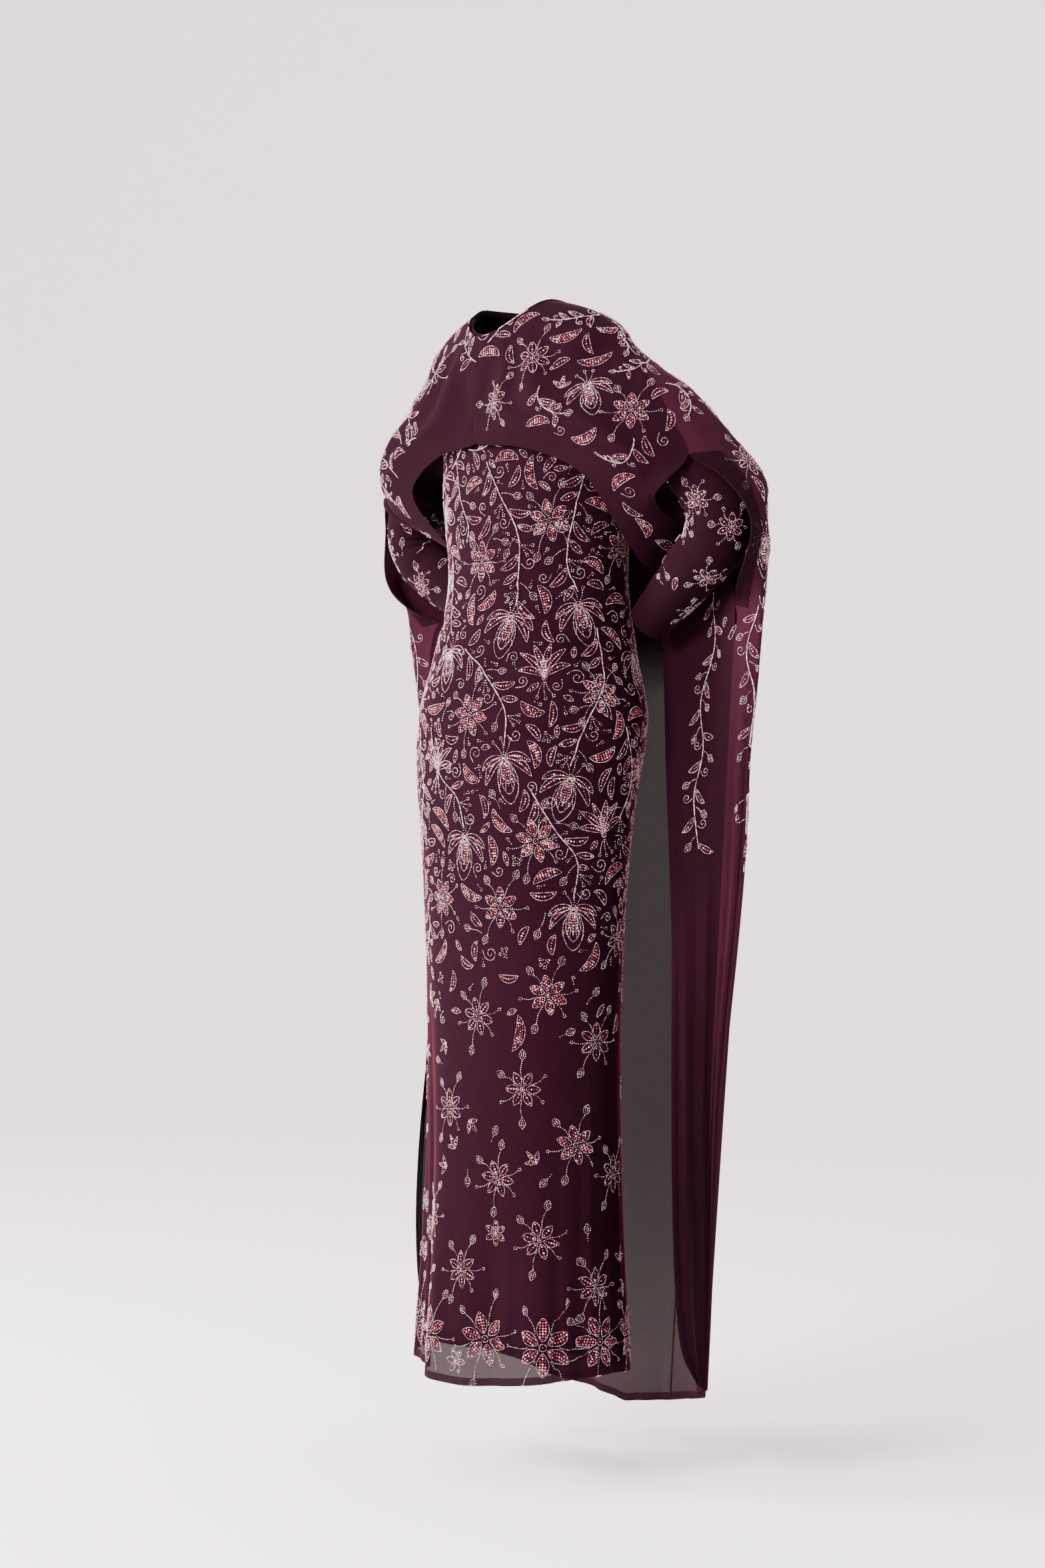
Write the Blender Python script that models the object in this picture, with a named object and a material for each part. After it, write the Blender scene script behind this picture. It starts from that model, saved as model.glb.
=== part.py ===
# A floor-length beaded column dress with a cape sewn into its neckline, as worn with both arms bent.
# Metres, +Z up, the wearer's front towards -Y and the wearer's left towards +X.
# The origin is the centre of the neck opening at the height of the side neck point.
import math

import bpy
import numpy as np

# Walls and seams
CLOTH_WALL = 0.0012
SEAM_GAP = 0.0003
CAPE_SEAM_GAP = 0.0006
FACING_GAP = 0.0006
FACING_WALL = 0.0010
ARMHOLE_EASE = 0.0006

# Grid of the dress panels
PANEL_COLUMNS = 14
YOKE_ROWS = 4
ARMHOLE_ROWS = 8
BODY_ROWS = 15
ARMHOLE_HALF_ANGLE = math.radians(40.0)
SHOULDER_STATION = 3.0
UNDERARM_STATION = 6.0
HEM_STATION = 16.0

# Sections of the dress from neck to hem. Halves of each ring, and its height at side, front and back.
# station, side_x, front_y, back_y, side_z, front_z, back_z
DRESS_SECTIONS = (
    (0.0, 0.069, -0.066, 0.060, -0.012, -0.055, -0.017),
    (1.0, 0.096, -0.070, 0.080, -0.022, -0.076, -0.042),
    (2.0, 0.136, -0.071, 0.094, -0.041, -0.102, -0.076),
    (3.0, 0.168, -0.069, 0.099, -0.066, -0.132, -0.116),
    (4.0, 0.161, -0.069, 0.103, -0.110, -0.160, -0.148),
    (5.0, 0.153, -0.070, 0.108, -0.160, -0.189, -0.181),
    (6.0, 0.149, -0.072, 0.113, -0.208, -0.214, -0.212),
    (7.0, 0.149, -0.075, 0.121, -0.262, -0.262, -0.262),
    (8.0, 0.134, -0.077, 0.129, -0.370, -0.370, -0.370),
    (9.0, 0.149, -0.097, 0.140, -0.463, -0.463, -0.463),
    (10.0, 0.175, -0.113, 0.144, -0.550, -0.550, -0.550),
    (11.0, 0.169, -0.114, 0.126, -0.650, -0.650, -0.650),
    (12.0, 0.162, -0.107, 0.113, -0.740, -0.740, -0.740),
    (13.0, 0.155, -0.103, 0.105, -0.880, -0.880, -0.880),
    (14.0, 0.152, -0.104, 0.102, -1.080, -1.080, -1.080),
    (15.0, 0.155, -0.110, 0.102, -1.245, -1.250, -1.248),
    (16.0, 0.163, -0.119, 0.106, -1.382, -1.402, -1.394),
)

# Soft folds of the skirt. Angle 0 is the wearer's left side seam, -90 the centre front, 90 the centre back.
# angle_deg, half_width_deg, depth_at_hem (inwards is negative), height where the fold starts
SKIRT_FOLDS = (
    (-128.0, 9.0, -0.016, -0.78),
    (-104.0, 11.0, 0.008, -0.95),
    (-66.0, 10.0, -0.010, -1.02),
    (-38.0, 12.0, 0.007, -1.08),
    (-160.0, 12.0, 0.007, -0.98),
    (38.0, 12.0, 0.009, -0.92),
    (66.0, 10.0, -0.012, -0.98),
    (96.0, 13.0, 0.009, -0.86),
    (126.0, 10.0, -0.011, -0.95),
    (154.0, 12.0, 0.008, -1.02),
)

# Lining inside the lower skirt
LINING_TOP_STATION = 13.3
LINING_HEM_STATION = 15.68
LINING_WALL = 0.0010
LINING_TOP_GAP = 0.0004
LINING_HEM_GAP = 0.0045

# Arm path inside the sleeve, wearer's left side
SHOULDER = (0.166, 0.022, -0.076)
ELBOW = (0.322, 0.072, -0.303)
WRIST = (0.151, 0.087, -0.424)
ELBOW_FILLET = 0.052
SLEEVE_BLEND = 0.16
SLEEVE_RINGS_UPPER = 8
SLEEVE_RINGS_ELBOW = 7
SLEEVE_RINGS_LOWER = 6
# Fraction of the arm's length, half width in the plane of the bend, half width across it
SLEEVE_SIZES = (
    (0.00, 0.058, 0.054),
    (0.25, 0.051, 0.049),
    (0.46, 0.045, 0.045),
    (0.58, 0.044, 0.044),
    (0.75, 0.038, 0.038),
    (1.00, 0.028, 0.027),
)

# Lines of the cape on the wearer's left side, each from the neck edge down.
# Row numbers run from 0 at the neck to CAPE_LAST_ROW at the hem.
CAPE_ARC_ROW = 5
CAPE_SLIT_TOP_ROW = 8
CAPE_SLIT_END_ROW = 16
CAPE_LAST_ROW = 28
CAPE_FRONT_COLUMNS = 8
CAPE_BACK_COLUMNS = 12
CAPE_CLEARANCE = 0.008
CAPE_NECK_GAP = 0.0012
CAPE_NECK_CLEARANCE = 0.004
CAPE_CLEARANCE_REACH = 0.018

# Centre front, then the arc hem, then the long front edge: row, x, y, z
CAPE_FRONT_EDGE = (
    (0, 0.000, -0.0715, -0.055),
    (2, 0.000, -0.0790, -0.104),
    (5, 0.000, -0.0810, -0.194),
    (6, 0.070, -0.0760, -0.202),
    (7, 0.132, -0.0620, -0.219),
    (8, 0.172, -0.0480, -0.242),
    (9, 0.181, -0.0270, -0.268),
    (10, 0.176, 0.0020, -0.298),
    (11, 0.170, 0.0320, -0.326),
    (12, 0.163, 0.0620, -0.350),
    (13, 0.152, 0.0980, -0.368),
    (14, 0.143, 0.1200, -0.386),
    (15, 0.136, 0.1260, -0.404),
    (16, 0.134, 0.1260, -0.424),
    (18, 0.148, 0.1150, -0.510),
    (20, 0.182, 0.0880, -0.640),
    (22, 0.226, 0.0560, -0.820),
    (24, 0.250, 0.0340, -1.040),
    (26, 0.262, 0.0290, -1.260),
    (27, 0.262, 0.0400, -1.342),
    (28, 0.252, 0.0760, -1.391),
)

# Over-arm seam, on the front piece's side of the slit: row, x, y, z
CAPE_SEAM_FRONT = (
    (0, 0.0730, -0.0050, -0.012),
    (1, 0.100, 0.008, -0.022),
    (3, 0.164, 0.010, -0.056),
    (5, 0.228, 0.004, -0.106),
    (7, 0.284, 0.007, -0.184),
    (8, 0.304, 0.013, -0.225),
    (9, 0.290, -0.004, -0.252),
    (10, 0.262, -0.004, -0.272),
    (11, 0.243, 0.022, -0.288),
    (12, 0.232, 0.058, -0.300),
    (13, 0.222, 0.098, -0.312),
    (14, 0.232, 0.124, -0.336),
    (15, 0.262, 0.126, -0.372),
    (16, 0.298, 0.098, -0.408),
    (18, 0.302, 0.088, -0.510),
    (21, 0.291, 0.083, -0.730),
    (24, 0.272, 0.080, -1.040),
    (28, 0.246, 0.092, -1.401),
)

# Over-arm seam, on the back piece's side of the slit: row, x, y, z
CAPE_SLIT_BACK = (
    (8, 0.304, 0.013, -0.225),
    (9, 0.336, 0.034, -0.250),
    (10, 0.357, 0.050, -0.278),
    (11, 0.368, 0.057, -0.304),
    (12, 0.369, 0.057, -0.328),
    (13, 0.362, 0.056, -0.350),
    (14, 0.347, 0.060, -0.372),
    (15, 0.322, 0.075, -0.394),
    (16, 0.298, 0.098, -0.408),
)

# Ridge over the back of the arm, the widest line of the back piece: row, x, y, z
CAPE_RIDGE = (
    (0, 0.060, 0.036, -0.014),
    (1, 0.084, 0.032, -0.024),
    (3, 0.150, 0.028, -0.057),
    (5, 0.210, 0.036, -0.116),
    (7, 0.292, 0.072, -0.192),
    (8, 0.332, 0.090, -0.225),
    (11, 0.357, 0.098, -0.304),
    (16, 0.354, 0.090, -0.418),
    (18, 0.342, 0.094, -0.500),
    (19, 0.328, 0.096, -0.575),
    (21, 0.315, 0.098, -0.730),
    (24, 0.278, 0.092, -1.040),
    (28, 0.239, 0.104, -1.404),
)

# Line down the shoulder blade: row, x, y, z
CAPE_BLADE = (
    (0, 0.030, 0.062, -0.016),
    (2, 0.080, 0.088, -0.062),
    (5, 0.150, 0.110, -0.138),
    (8, 0.222, 0.138, -0.226),
    (12, 0.252, 0.150, -0.330),
    (16, 0.259, 0.156, -0.420),
    (21, 0.230, 0.154, -0.730),
    (24, 0.205, 0.150, -1.040),
    (28, 0.165, 0.152, -1.430),
)

# Centre back: row, x, y, z
CAPE_CENTRE_BACK = (
    (0, 0.0, 0.0680, -0.017),
    (2, 0.0, 0.0980, -0.072),
    (5, 0.0, 0.1220, -0.152),
    (8, 0.0, 0.1340, -0.230),
    (12, 0.0, 0.1440, -0.335),
    (16, 0.0, 0.1580, -0.425),
    (21, 0.0, 0.1760, -0.730),
    (24, 0.0, 0.1800, -1.040),
    (28, 0.0, 0.1800, -1.460),
)

# Soft folds of the back piece, counted from the over-arm seam (0) to the centre back (1)
# place, half_width, depth_at_hem (inwards is negative), row where the fold starts
CAPE_FOLDS = (
    (0.34, 0.075, -0.012, 14),
    (0.50, 0.080, 0.010, 13),
    (0.66, 0.075, -0.013, 15),
    (0.82, 0.080, 0.010, 14),
)

# Neck binding
BINDING_INNER = 0.0655
BINDING_OUTER = 0.0672
BINDING_BELOW = 0.0040
BINDING_ABOVE = 0.0045
BINDING_SEGMENTS = 28

# Colours, linear
PLUM_CHIFFON = (0.060, 0.012, 0.028)
PLUM_LINING = (0.045, 0.009, 0.021)
PLUM_BINDING = (0.048, 0.010, 0.023)


def clear_scene():
    for item in list(bpy.data.objects):
        bpy.data.objects.remove(item, do_unlink=True)


def cloth_material(name, colour, roughness):
    material = bpy.data.materials.new(name)
    material.use_nodes = True
    shader = material.node_tree.nodes["Principled BSDF"]
    shader.inputs["Base Color"].default_value = (*colour, 1.0)
    shader.inputs["Roughness"].default_value = roughness
    shader.inputs["Metallic"].default_value = 0.0
    return material


def line_at(rows, station):
    # Smooth curve through a table whose first column is the station
    table = np.array(rows, dtype=float)
    stations = table[:, 0]
    values = table[:, 1:]
    station = min(max(station, stations[0]), stations[-1])
    index = int(np.searchsorted(stations, station, side="right") - 1)
    index = min(index, len(stations) - 2)
    slopes = np.gradient(values, stations, axis=0)
    span = stations[index + 1] - stations[index]
    t = (station - stations[index]) / span
    h00 = 2 * t**3 - 3 * t**2 + 1
    h10 = t**3 - 2 * t**2 + t
    h01 = -2 * t**3 + 3 * t**2
    h11 = t**3 - t**2
    return (h00 * values[index] + h10 * span * slopes[index]
            + h01 * values[index + 1] + h11 * span * slopes[index + 1])


def ramp(value, low, high):
    t = min(max((value - low) / (high - low), 0.0), 1.0)
    return t * t * (3.0 - 2.0 * t)


def unit(vector):
    return vector / np.linalg.norm(vector)


def solid_from_sheet(name, outer, normals, faces, wall, material):
    # Closes a sheet into a wall: the outer points, the same points moved in, and a rim round each free edge
    outer = np.array(outer)
    normals = np.array(normals)
    inner = outer - normals * wall
    count = len(outer)
    edge_uses = {}
    for face in faces:
        for first, second in zip(face, face[1:] + face[:1]):
            edge_uses.setdefault(frozenset((first, second)), []).append((first, second))
    shell = [tuple(face) for face in faces]
    shell += [tuple(corner + count for corner in reversed(face)) for face in faces]
    for uses in edge_uses.values():
        if len(uses) == 1:
            first, second = uses[0]
            shell.append((second, first, first + count, second + count))
    mesh = bpy.data.meshes.new(name)
    mesh.from_pydata([tuple(point) for point in np.vstack((outer, inner))], [], shell)
    mesh.update()
    mesh.materials.append(material)
    piece = bpy.data.objects.new(name, mesh)
    bpy.context.scene.collection.objects.link(piece)
    mesh.shade_smooth()
    mesh.set_sharp_from_angle(angle=math.radians(50.0))
    return piece


def grid_faces(rows, columns, start=0, closed=False):
    faces = []
    last = columns if closed else columns - 1
    for row in range(rows - 1):
        for column in range(last):
            following = (column + 1) % columns
            low = start + row * columns
            high = low + columns
            faces.append((low + column, high + column, high + following))
            faces.append((low + column, high + following, low + following))
    return faces


def skirt_fold(angle_deg, height):
    swell = 0.0
    for fold_angle, half_width, depth, start in SKIRT_FOLDS:
        apart = (angle_deg - fold_angle + 180.0) % 360.0 - 180.0
        hang = ramp(-height, -start, 1.40)
        swell += depth * hang * math.exp(-((apart / half_width) ** 2))
    return swell


def dress_point(angle, station):
    # Point of the dress's outer face at an angle round the body and a station down it
    side_x, front_y, back_y, side_z, front_z, back_z = line_at(DRESS_SECTIONS, station)
    middle = 0.5 * (front_y + back_y)
    half_depth = 0.5 * (back_y - front_y)
    sine = math.sin(angle)
    far_z = front_z if sine < 0.0 else back_z
    height = side_z + (far_z - side_z) * sine * sine
    swell = skirt_fold(math.degrees(angle), height)
    return np.array(((side_x + swell) * math.cos(angle), middle + (half_depth + swell) * sine, height))


def dress_normal(angle, station):
    turn = 0.01
    step = 0.02
    low = max(station - step, 0.0)
    high = min(station + step, HEM_STATION)
    around = dress_point(angle + turn, station) - dress_point(angle - turn, station)
    down = dress_point(angle, high) - dress_point(angle, low)
    return unit(np.cross(down, around))


def panel_stations():
    yoke = np.linspace(0.0, SHOULDER_STATION, YOKE_ROWS, endpoint=False)
    turns = np.linspace(0.0, math.pi, ARMHOLE_ROWS + 1)
    middle = 0.5 * (SHOULDER_STATION + UNDERARM_STATION)
    reach = 0.5 * (UNDERARM_STATION - SHOULDER_STATION)
    armhole = middle - reach * np.cos(turns)
    body = np.linspace(UNDERARM_STATION, HEM_STATION, BODY_ROWS + 1)[1:]
    inset = ([0.0] * YOKE_ROWS + [ARMHOLE_HALF_ANGLE * math.sin(turn) for turn in turns]
             + [0.0] * BODY_ROWS)
    return list(zip(np.concatenate((yoke, armhole, body)), inset))


def dress_panel(name, side, material):
    # side is -1 for the front panel and 1 for the back panel
    points = []
    normals = []
    stations = panel_stations()
    for station, inset in stations:
        first = inset if side > 0 else inset - math.pi
        for column in range(PANEL_COLUMNS + 1):
            angle = first + (math.pi - 2.0 * inset) * column / PANEL_COLUMNS
            point = dress_point(angle, station)
            if column in (0, PANEL_COLUMNS):
                point[1] += side * 0.5 * SEAM_GAP
            points.append(point)
            normals.append(dress_normal(angle, station))
    faces = grid_faces(len(stations), PANEL_COLUMNS + 1)
    return solid_from_sheet(name, points, normals, faces, CLOTH_WALL, material)


def lining_tube(material):
    columns = 2 * PANEL_COLUMNS
    stations = [station for station, _ in panel_stations()
                if LINING_TOP_STATION < station < LINING_HEM_STATION]
    stations.append(LINING_HEM_STATION)
    points = []
    normals = []
    for station in stations:
        share = (station - stations[0]) / (stations[-1] - stations[0])
        gap = CLOTH_WALL + LINING_TOP_GAP + (LINING_HEM_GAP - LINING_TOP_GAP) * share
        for column in range(columns):
            angle = 2.0 * math.pi * column / columns
            normal = dress_normal(angle, station)
            points.append(dress_point(angle, station) - normal * gap)
            normals.append(normal)
    faces = grid_faces(len(stations), columns, closed=True)
    return solid_from_sheet("lining", points, normals, faces, LINING_WALL, material)


def arm_path():
    # Centre points of the sleeve with their directions, straight, round the elbow and straight again
    shoulder, elbow, wrist = (np.array(place) for place in (SHOULDER, ELBOW, WRIST))
    upper = unit(elbow - shoulder)
    lower = unit(wrist - elbow)
    turn = math.acos(float(np.dot(upper, lower)))
    setback = ELBOW_FILLET * math.tan(0.5 * turn)
    bend_start = elbow - upper * setback
    bend_end = elbow + lower * setback
    centre = elbow + unit(lower - upper) * ELBOW_FILLET / math.cos(0.5 * turn)
    path = []
    for share in np.linspace(0.0, 1.0, SLEEVE_RINGS_UPPER, endpoint=False):
        path.append((shoulder + (bend_start - shoulder) * share, upper))
    across = unit(np.cross(upper, lower))
    arm = bend_start - centre
    for share in np.linspace(0.0, 1.0, SLEEVE_RINGS_ELBOW, endpoint=False):
        angle = turn * share
        spoke = arm * math.cos(angle) + np.cross(across, arm) * math.sin(angle)
        heading = upper * math.cos(angle) + np.cross(across, upper) * math.sin(angle)
        path.append((centre + spoke, heading))
    for share in np.linspace(0.0, 1.0, SLEEVE_RINGS_LOWER + 1):
        path.append((bend_end + (wrist - bend_end) * share, lower))
    return path, -across


def armhole_loop():
    # Points and normals of the armhole edge on the wearer's left, from the shoulder by the front to the back
    turns = np.linspace(0.0, math.pi, ARMHOLE_ROWS + 1)
    middle = 0.5 * (SHOULDER_STATION + UNDERARM_STATION)
    reach = 0.5 * (UNDERARM_STATION - SHOULDER_STATION)
    loop = []
    for side in (-1, 1):
        order = turns if side < 0 else turns[-2:0:-1]
        for turn in order:
            station = middle - reach * math.cos(turn)
            angle = side * ARMHOLE_HALF_ANGLE * math.sin(turn)
            loop.append((dress_point(angle, station), dress_normal(angle, station)))
    return loop


def sleeve_grid():
    # Rings of the left sleeve from the armhole to the cuff, with their outward directions
    loop = armhole_loop()
    columns = len(loop)
    loop_centre = sum(point for point, _ in loop) / columns
    path, front = arm_path()
    lengths = [0.0]
    for (before, _), (after, _) in zip(path, path[1:]):
        lengths.append(lengths[-1] + float(np.linalg.norm(after - before)))
    rings = []
    for (centre, heading), length in zip(path, lengths):
        half_plane, half_across = line_at(SLEEVE_SIZES, length / lengths[-1])
        outward = unit(np.cross(front, heading))
        blend = ramp(length, 0.0, SLEEVE_BLEND)
        ring = []
        for column, (edge_point, edge_normal) in enumerate(loop):
            turn = 2.0 * math.pi * column / columns
            round_point = (centre + outward * half_plane * math.cos(turn)
                           + front * half_across * math.sin(turn))
            inward = unit(loop_centre - edge_point)
            start = edge_point + inward * ARMHOLE_EASE + edge_normal * 0.5 * SEAM_GAP
            ring.append((start + heading * length) * (1.0 - blend) + round_point * blend)
        rings.append(ring)
    grid = np.array(rings)
    around = np.roll(grid, -1, axis=1) - np.roll(grid, 1, axis=1)
    normals = np.cross(around, np.gradient(grid, axis=0))
    return grid, normals / np.linalg.norm(normals, axis=2, keepdims=True)


def sleeve(name, mirror, material):
    grid, normals = sleeve_grid()
    rings, columns, _ = grid.shape
    faces = grid_faces(rings, columns, closed=True)
    points = grid.reshape(-1, 3)
    directions = normals.reshape(-1, 3)
    if mirror:
        flip = np.array((-1.0, 1.0, 1.0))
        points = points * flip
        directions = directions * flip
    else:
        faces = [tuple(reversed(face)) for face in faces]
    return solid_from_sheet(name, points, directions, faces, CLOTH_WALL, material)


def section_curve(controls, places, share):
    rows = [(place, *control) for place, control in zip(places, controls)]
    return line_at(rows, share)


def cape_front_point(row, share):
    # share runs from the front edge (0) to the over-arm seam (1)
    edge = line_at(CAPE_FRONT_EDGE, row)
    seam = line_at(CAPE_SEAM_FRONT, row)
    middle = 0.5 * (edge + seam)
    across = seam - edge
    flat = np.array((across[1], -across[0], 0.0))
    upper = 1.0 - ramp(row, 7.0, 10.0)
    tail = ramp(row, 17.0, 22.0)
    behind = ramp(row, 10.0, 14.0) * (1.0 - tail)
    middle = middle + flat * (0.20 * upper + 0.10 * tail - 0.10 * behind)
    middle[2] -= 0.10 * upper * abs(across[2])
    return section_curve((edge, middle, seam), (0.0, 0.5, 1.0), share)


def cape_back_point(row, share):
    # share runs from the over-arm seam (0) to the centre back (1)
    in_slit = CAPE_SLIT_TOP_ROW <= row <= CAPE_SLIT_END_ROW
    seam = line_at(CAPE_SLIT_BACK if in_slit else CAPE_SEAM_FRONT, row)
    controls = (seam, line_at(CAPE_RIDGE, row), line_at(CAPE_BLADE, row), line_at(CAPE_CENTRE_BACK, row))
    point = section_curve(controls, (0.0, 0.22, 0.55, 1.0), share)
    swell = 0.0
    for place, half_width, depth, start in CAPE_FOLDS:
        hang = ramp(row, start, CAPE_LAST_ROW)
        swell += depth * hang * math.exp(-(((share - place) / half_width) ** 2))
    out = unit(np.array((point[0], point[1], 0.0)))
    return point + out * swell


def cape_grid(point_at, columns):
    return np.array([[point_at(row, column / columns) for column in range(columns + 1)]
                     for row in range(CAPE_LAST_ROW + 1)])


def sheet_normals(grid):
    across = np.gradient(grid, axis=1)
    down = np.gradient(grid, axis=0)
    normals = np.cross(down, across)
    return normals / np.linalg.norm(normals, axis=2, keepdims=True)


def dress_samples():
    # Points and directions spread over the outside of the dress, to keep the cape clear of it
    stations = np.linspace(0.0, HEM_STATION, 70)
    angles = np.linspace(-math.pi, math.pi, 72, endpoint=False)
    points = [dress_point(angle, station) for station in stations for angle in angles]
    directions = [dress_normal(angle, station) for station in stations for angle in angles]
    return np.array(points), np.array(directions)


def keep_clear(grid, samples, directions):
    # Moves each point of a sheet out until it stands clear of the cloth below it
    for row in range(1, len(grid)):
        clearance = CAPE_NECK_CLEARANCE + (CAPE_CLEARANCE - CAPE_NECK_CLEARANCE) * ramp(row, 0.0, 3.0)
        for column in range(grid.shape[1]):
            point = grid[row, column]
            spans = np.linalg.norm(samples - point, axis=1)
            nearest = int(np.argmin(spans))
            height = float(np.dot(point - samples[nearest], directions[nearest]))
            sideways = math.sqrt(max(spans[nearest] ** 2 - height**2, 0.0))
            if height < clearance and sideways < CAPE_CLEARANCE_REACH:
                grid[row, column] = point + directions[nearest] * (clearance - height)


def neck_row(row):
    # Sets the top row of a cape sheet on the neck edge of the dress
    middle = 0.5 * (DRESS_SECTIONS[0][2] + DRESS_SECTIONS[0][3])
    for column, point in enumerate(row):
        angle = math.atan2(point[1] - middle, point[0])
        row[column] = dress_point(angle, 0.0) + dress_normal(angle, 0.0) * (CLOTH_WALL + CAPE_NECK_GAP)


def cape_grids():
    # Both pieces on the wearer's left, with shared normals along the closed parts of the over-arm seam
    front = cape_grid(cape_front_point, CAPE_FRONT_COLUMNS)
    back = cape_grid(cape_back_point, CAPE_BACK_COLUMNS)
    sleeve_points, sleeve_directions = (part.reshape(-1, 3) for part in sleeve_grid())
    for samples, directions in 3 * ((sleeve_points, sleeve_directions), dress_samples()):
        keep_clear(front, samples, directions)
        keep_clear(back, samples, directions)
    neck_row(front[0])
    neck_row(back[0])
    front[:CAPE_ARC_ROW + 1, 0, 0] = 0.0
    back[:, -1, 0] = 0.0
    front_normals = sheet_normals(front)
    back_normals = sheet_normals(back)
    for row in range(CAPE_LAST_ROW + 1):
        if row <= CAPE_SLIT_TOP_ROW or row >= CAPE_SLIT_END_ROW:
            shared = unit(front_normals[row, -1] + back_normals[row, 0])
            front_normals[row, -1] = shared
            back_normals[row, 0] = shared
        to_front = unit(front[row, -2] - front[row, -1])
        to_back = unit(back[row, 1] - back[row, 0])
        apart = unit(to_front - to_back)
        front[row, -1] += apart * 0.5 * CAPE_SEAM_GAP
        back[row, 0] -= apart * 0.5 * CAPE_SEAM_GAP
    front_normals[:CAPE_ARC_ROW + 1, 0, 0] = 0.0
    back_normals[:, -1, 0] = 0.0
    front_normals /= np.linalg.norm(front_normals, axis=2, keepdims=True)
    back_normals /= np.linalg.norm(back_normals, axis=2, keepdims=True)
    return front, front_normals, back, back_normals


def mirrored_sheet(grid, normals, shared_column, shared_rows):
    # Joins a half to its mirror image along one column, for the rows that the two halves share
    rows, columns, _ = grid.shape
    flip = np.array((-1.0, 1.0, 1.0))
    points = list(grid.reshape(-1, 3))
    directions = list(normals.reshape(-1, 3))
    faces = grid_faces(rows, columns)
    twin = {}
    for row in range(rows):
        for column in range(columns):
            own = row * columns + column
            if column == shared_column and row in shared_rows:
                twin[own] = own
                continue
            twin[own] = len(points)
            points.append(grid[row, column] * flip)
            directions.append(normals[row, column] * flip)
    faces += [tuple(twin[corner] for corner in reversed(face)) for face in faces]
    return points, directions, faces


def facing_strip(name, grid, normals, columns, mirror, material):
    # A plain band on the cape's outer face beside the slit, made from the panel's own points
    rows = range(CAPE_SLIT_TOP_ROW, CAPE_SLIT_END_ROW + 1)
    lift = FACING_GAP + FACING_WALL
    points = []
    directions = []
    for row in rows:
        for column in columns:
            points.append(grid[row, column] + normals[row, column] * lift)
            directions.append(normals[row, column])
    faces = grid_faces(len(rows), len(columns))
    if mirror:
        flip = np.array((-1.0, 1.0, 1.0))
        points = [point * flip for point in points]
        directions = [direction * flip for direction in directions]
        faces = [tuple(reversed(face)) for face in faces]
    return solid_from_sheet(name, points, directions, faces, FACING_WALL, material)


def neck_binding(material):
    # A narrow ring inside the neck edge that stands a little above it
    neck = DRESS_SECTIONS[0]
    side_z, front_z, back_z = neck[4:]
    middle = 0.5 * (neck[2] + neck[3])
    profile = ((BINDING_INNER, -BINDING_BELOW), (BINDING_INNER, BINDING_ABOVE - 0.0005),
               (0.5 * (BINDING_INNER + BINDING_OUTER), BINDING_ABOVE),
               (BINDING_OUTER, BINDING_ABOVE - 0.0005), (BINDING_OUTER, -BINDING_BELOW))
    points = []
    for segment in range(BINDING_SEGMENTS):
        angle = 2.0 * math.pi * segment / BINDING_SEGMENTS
        sine = math.sin(angle)
        base = side_z + ((front_z if sine < 0.0 else back_z) - side_z) * sine * sine
        for radius, height in profile:
            depth = radius * (neck[3] - neck[2]) / (2.0 * neck[1])
            points.append((radius * math.cos(angle), middle + depth * sine, base + height))
    size = len(profile)
    faces = []
    for segment in range(BINDING_SEGMENTS):
        following = (segment + 1) % BINDING_SEGMENTS
        for corner in range(size):
            beside = (corner + 1) % size
            faces.append((segment * size + corner, segment * size + beside,
                          following * size + beside, following * size + corner))
    mesh = bpy.data.meshes.new("neck_binding")
    mesh.from_pydata(points, [], faces)
    mesh.update()
    mesh.materials.append(material)
    piece = bpy.data.objects.new("neck_binding", mesh)
    bpy.context.scene.collection.objects.link(piece)
    return piece


def build_cape(material, facing_material):
    front, front_normals, back, back_normals = cape_grids()
    centre_rows = range(CAPE_ARC_ROW + 1)
    points, directions, faces = mirrored_sheet(front, front_normals, 0, centre_rows)
    solid_from_sheet("cape_front", points, directions, faces, CLOTH_WALL, material)
    all_rows = range(CAPE_LAST_ROW + 1)
    points, directions, faces = mirrored_sheet(back, back_normals, CAPE_BACK_COLUMNS, all_rows)
    solid_from_sheet("cape_back", points, directions, faces, CLOTH_WALL, material)
    for side, mirror in (("left", False), ("right", True)):
        facing_strip("slit_facing_back_" + side, back, back_normals, (0, 1), mirror, facing_material)
        facing_strip("slit_facing_front_" + side, front, front_normals,
                     (CAPE_FRONT_COLUMNS - 1, CAPE_FRONT_COLUMNS), mirror, facing_material)


def build():
    clear_scene()
    chiffon = cloth_material("plum_chiffon", PLUM_CHIFFON, 0.75)
    lining = cloth_material("plum_lining", PLUM_LINING, 0.60)
    plain = cloth_material("plum_binding", PLUM_BINDING, 0.70)
    dress_panel("dress_front", -1, chiffon)
    dress_panel("dress_back", 1, chiffon)
    lining_tube(lining)
    sleeve("sleeve_left", False, chiffon)
    sleeve("sleeve_right", True, chiffon)
    neck_binding(plain)
    build_cape(chiffon, plain)


build()
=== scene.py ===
import math

import bmesh
import bpy
import numpy as np
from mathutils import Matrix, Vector
from mathutils.bvhtree import BVHTree


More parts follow.
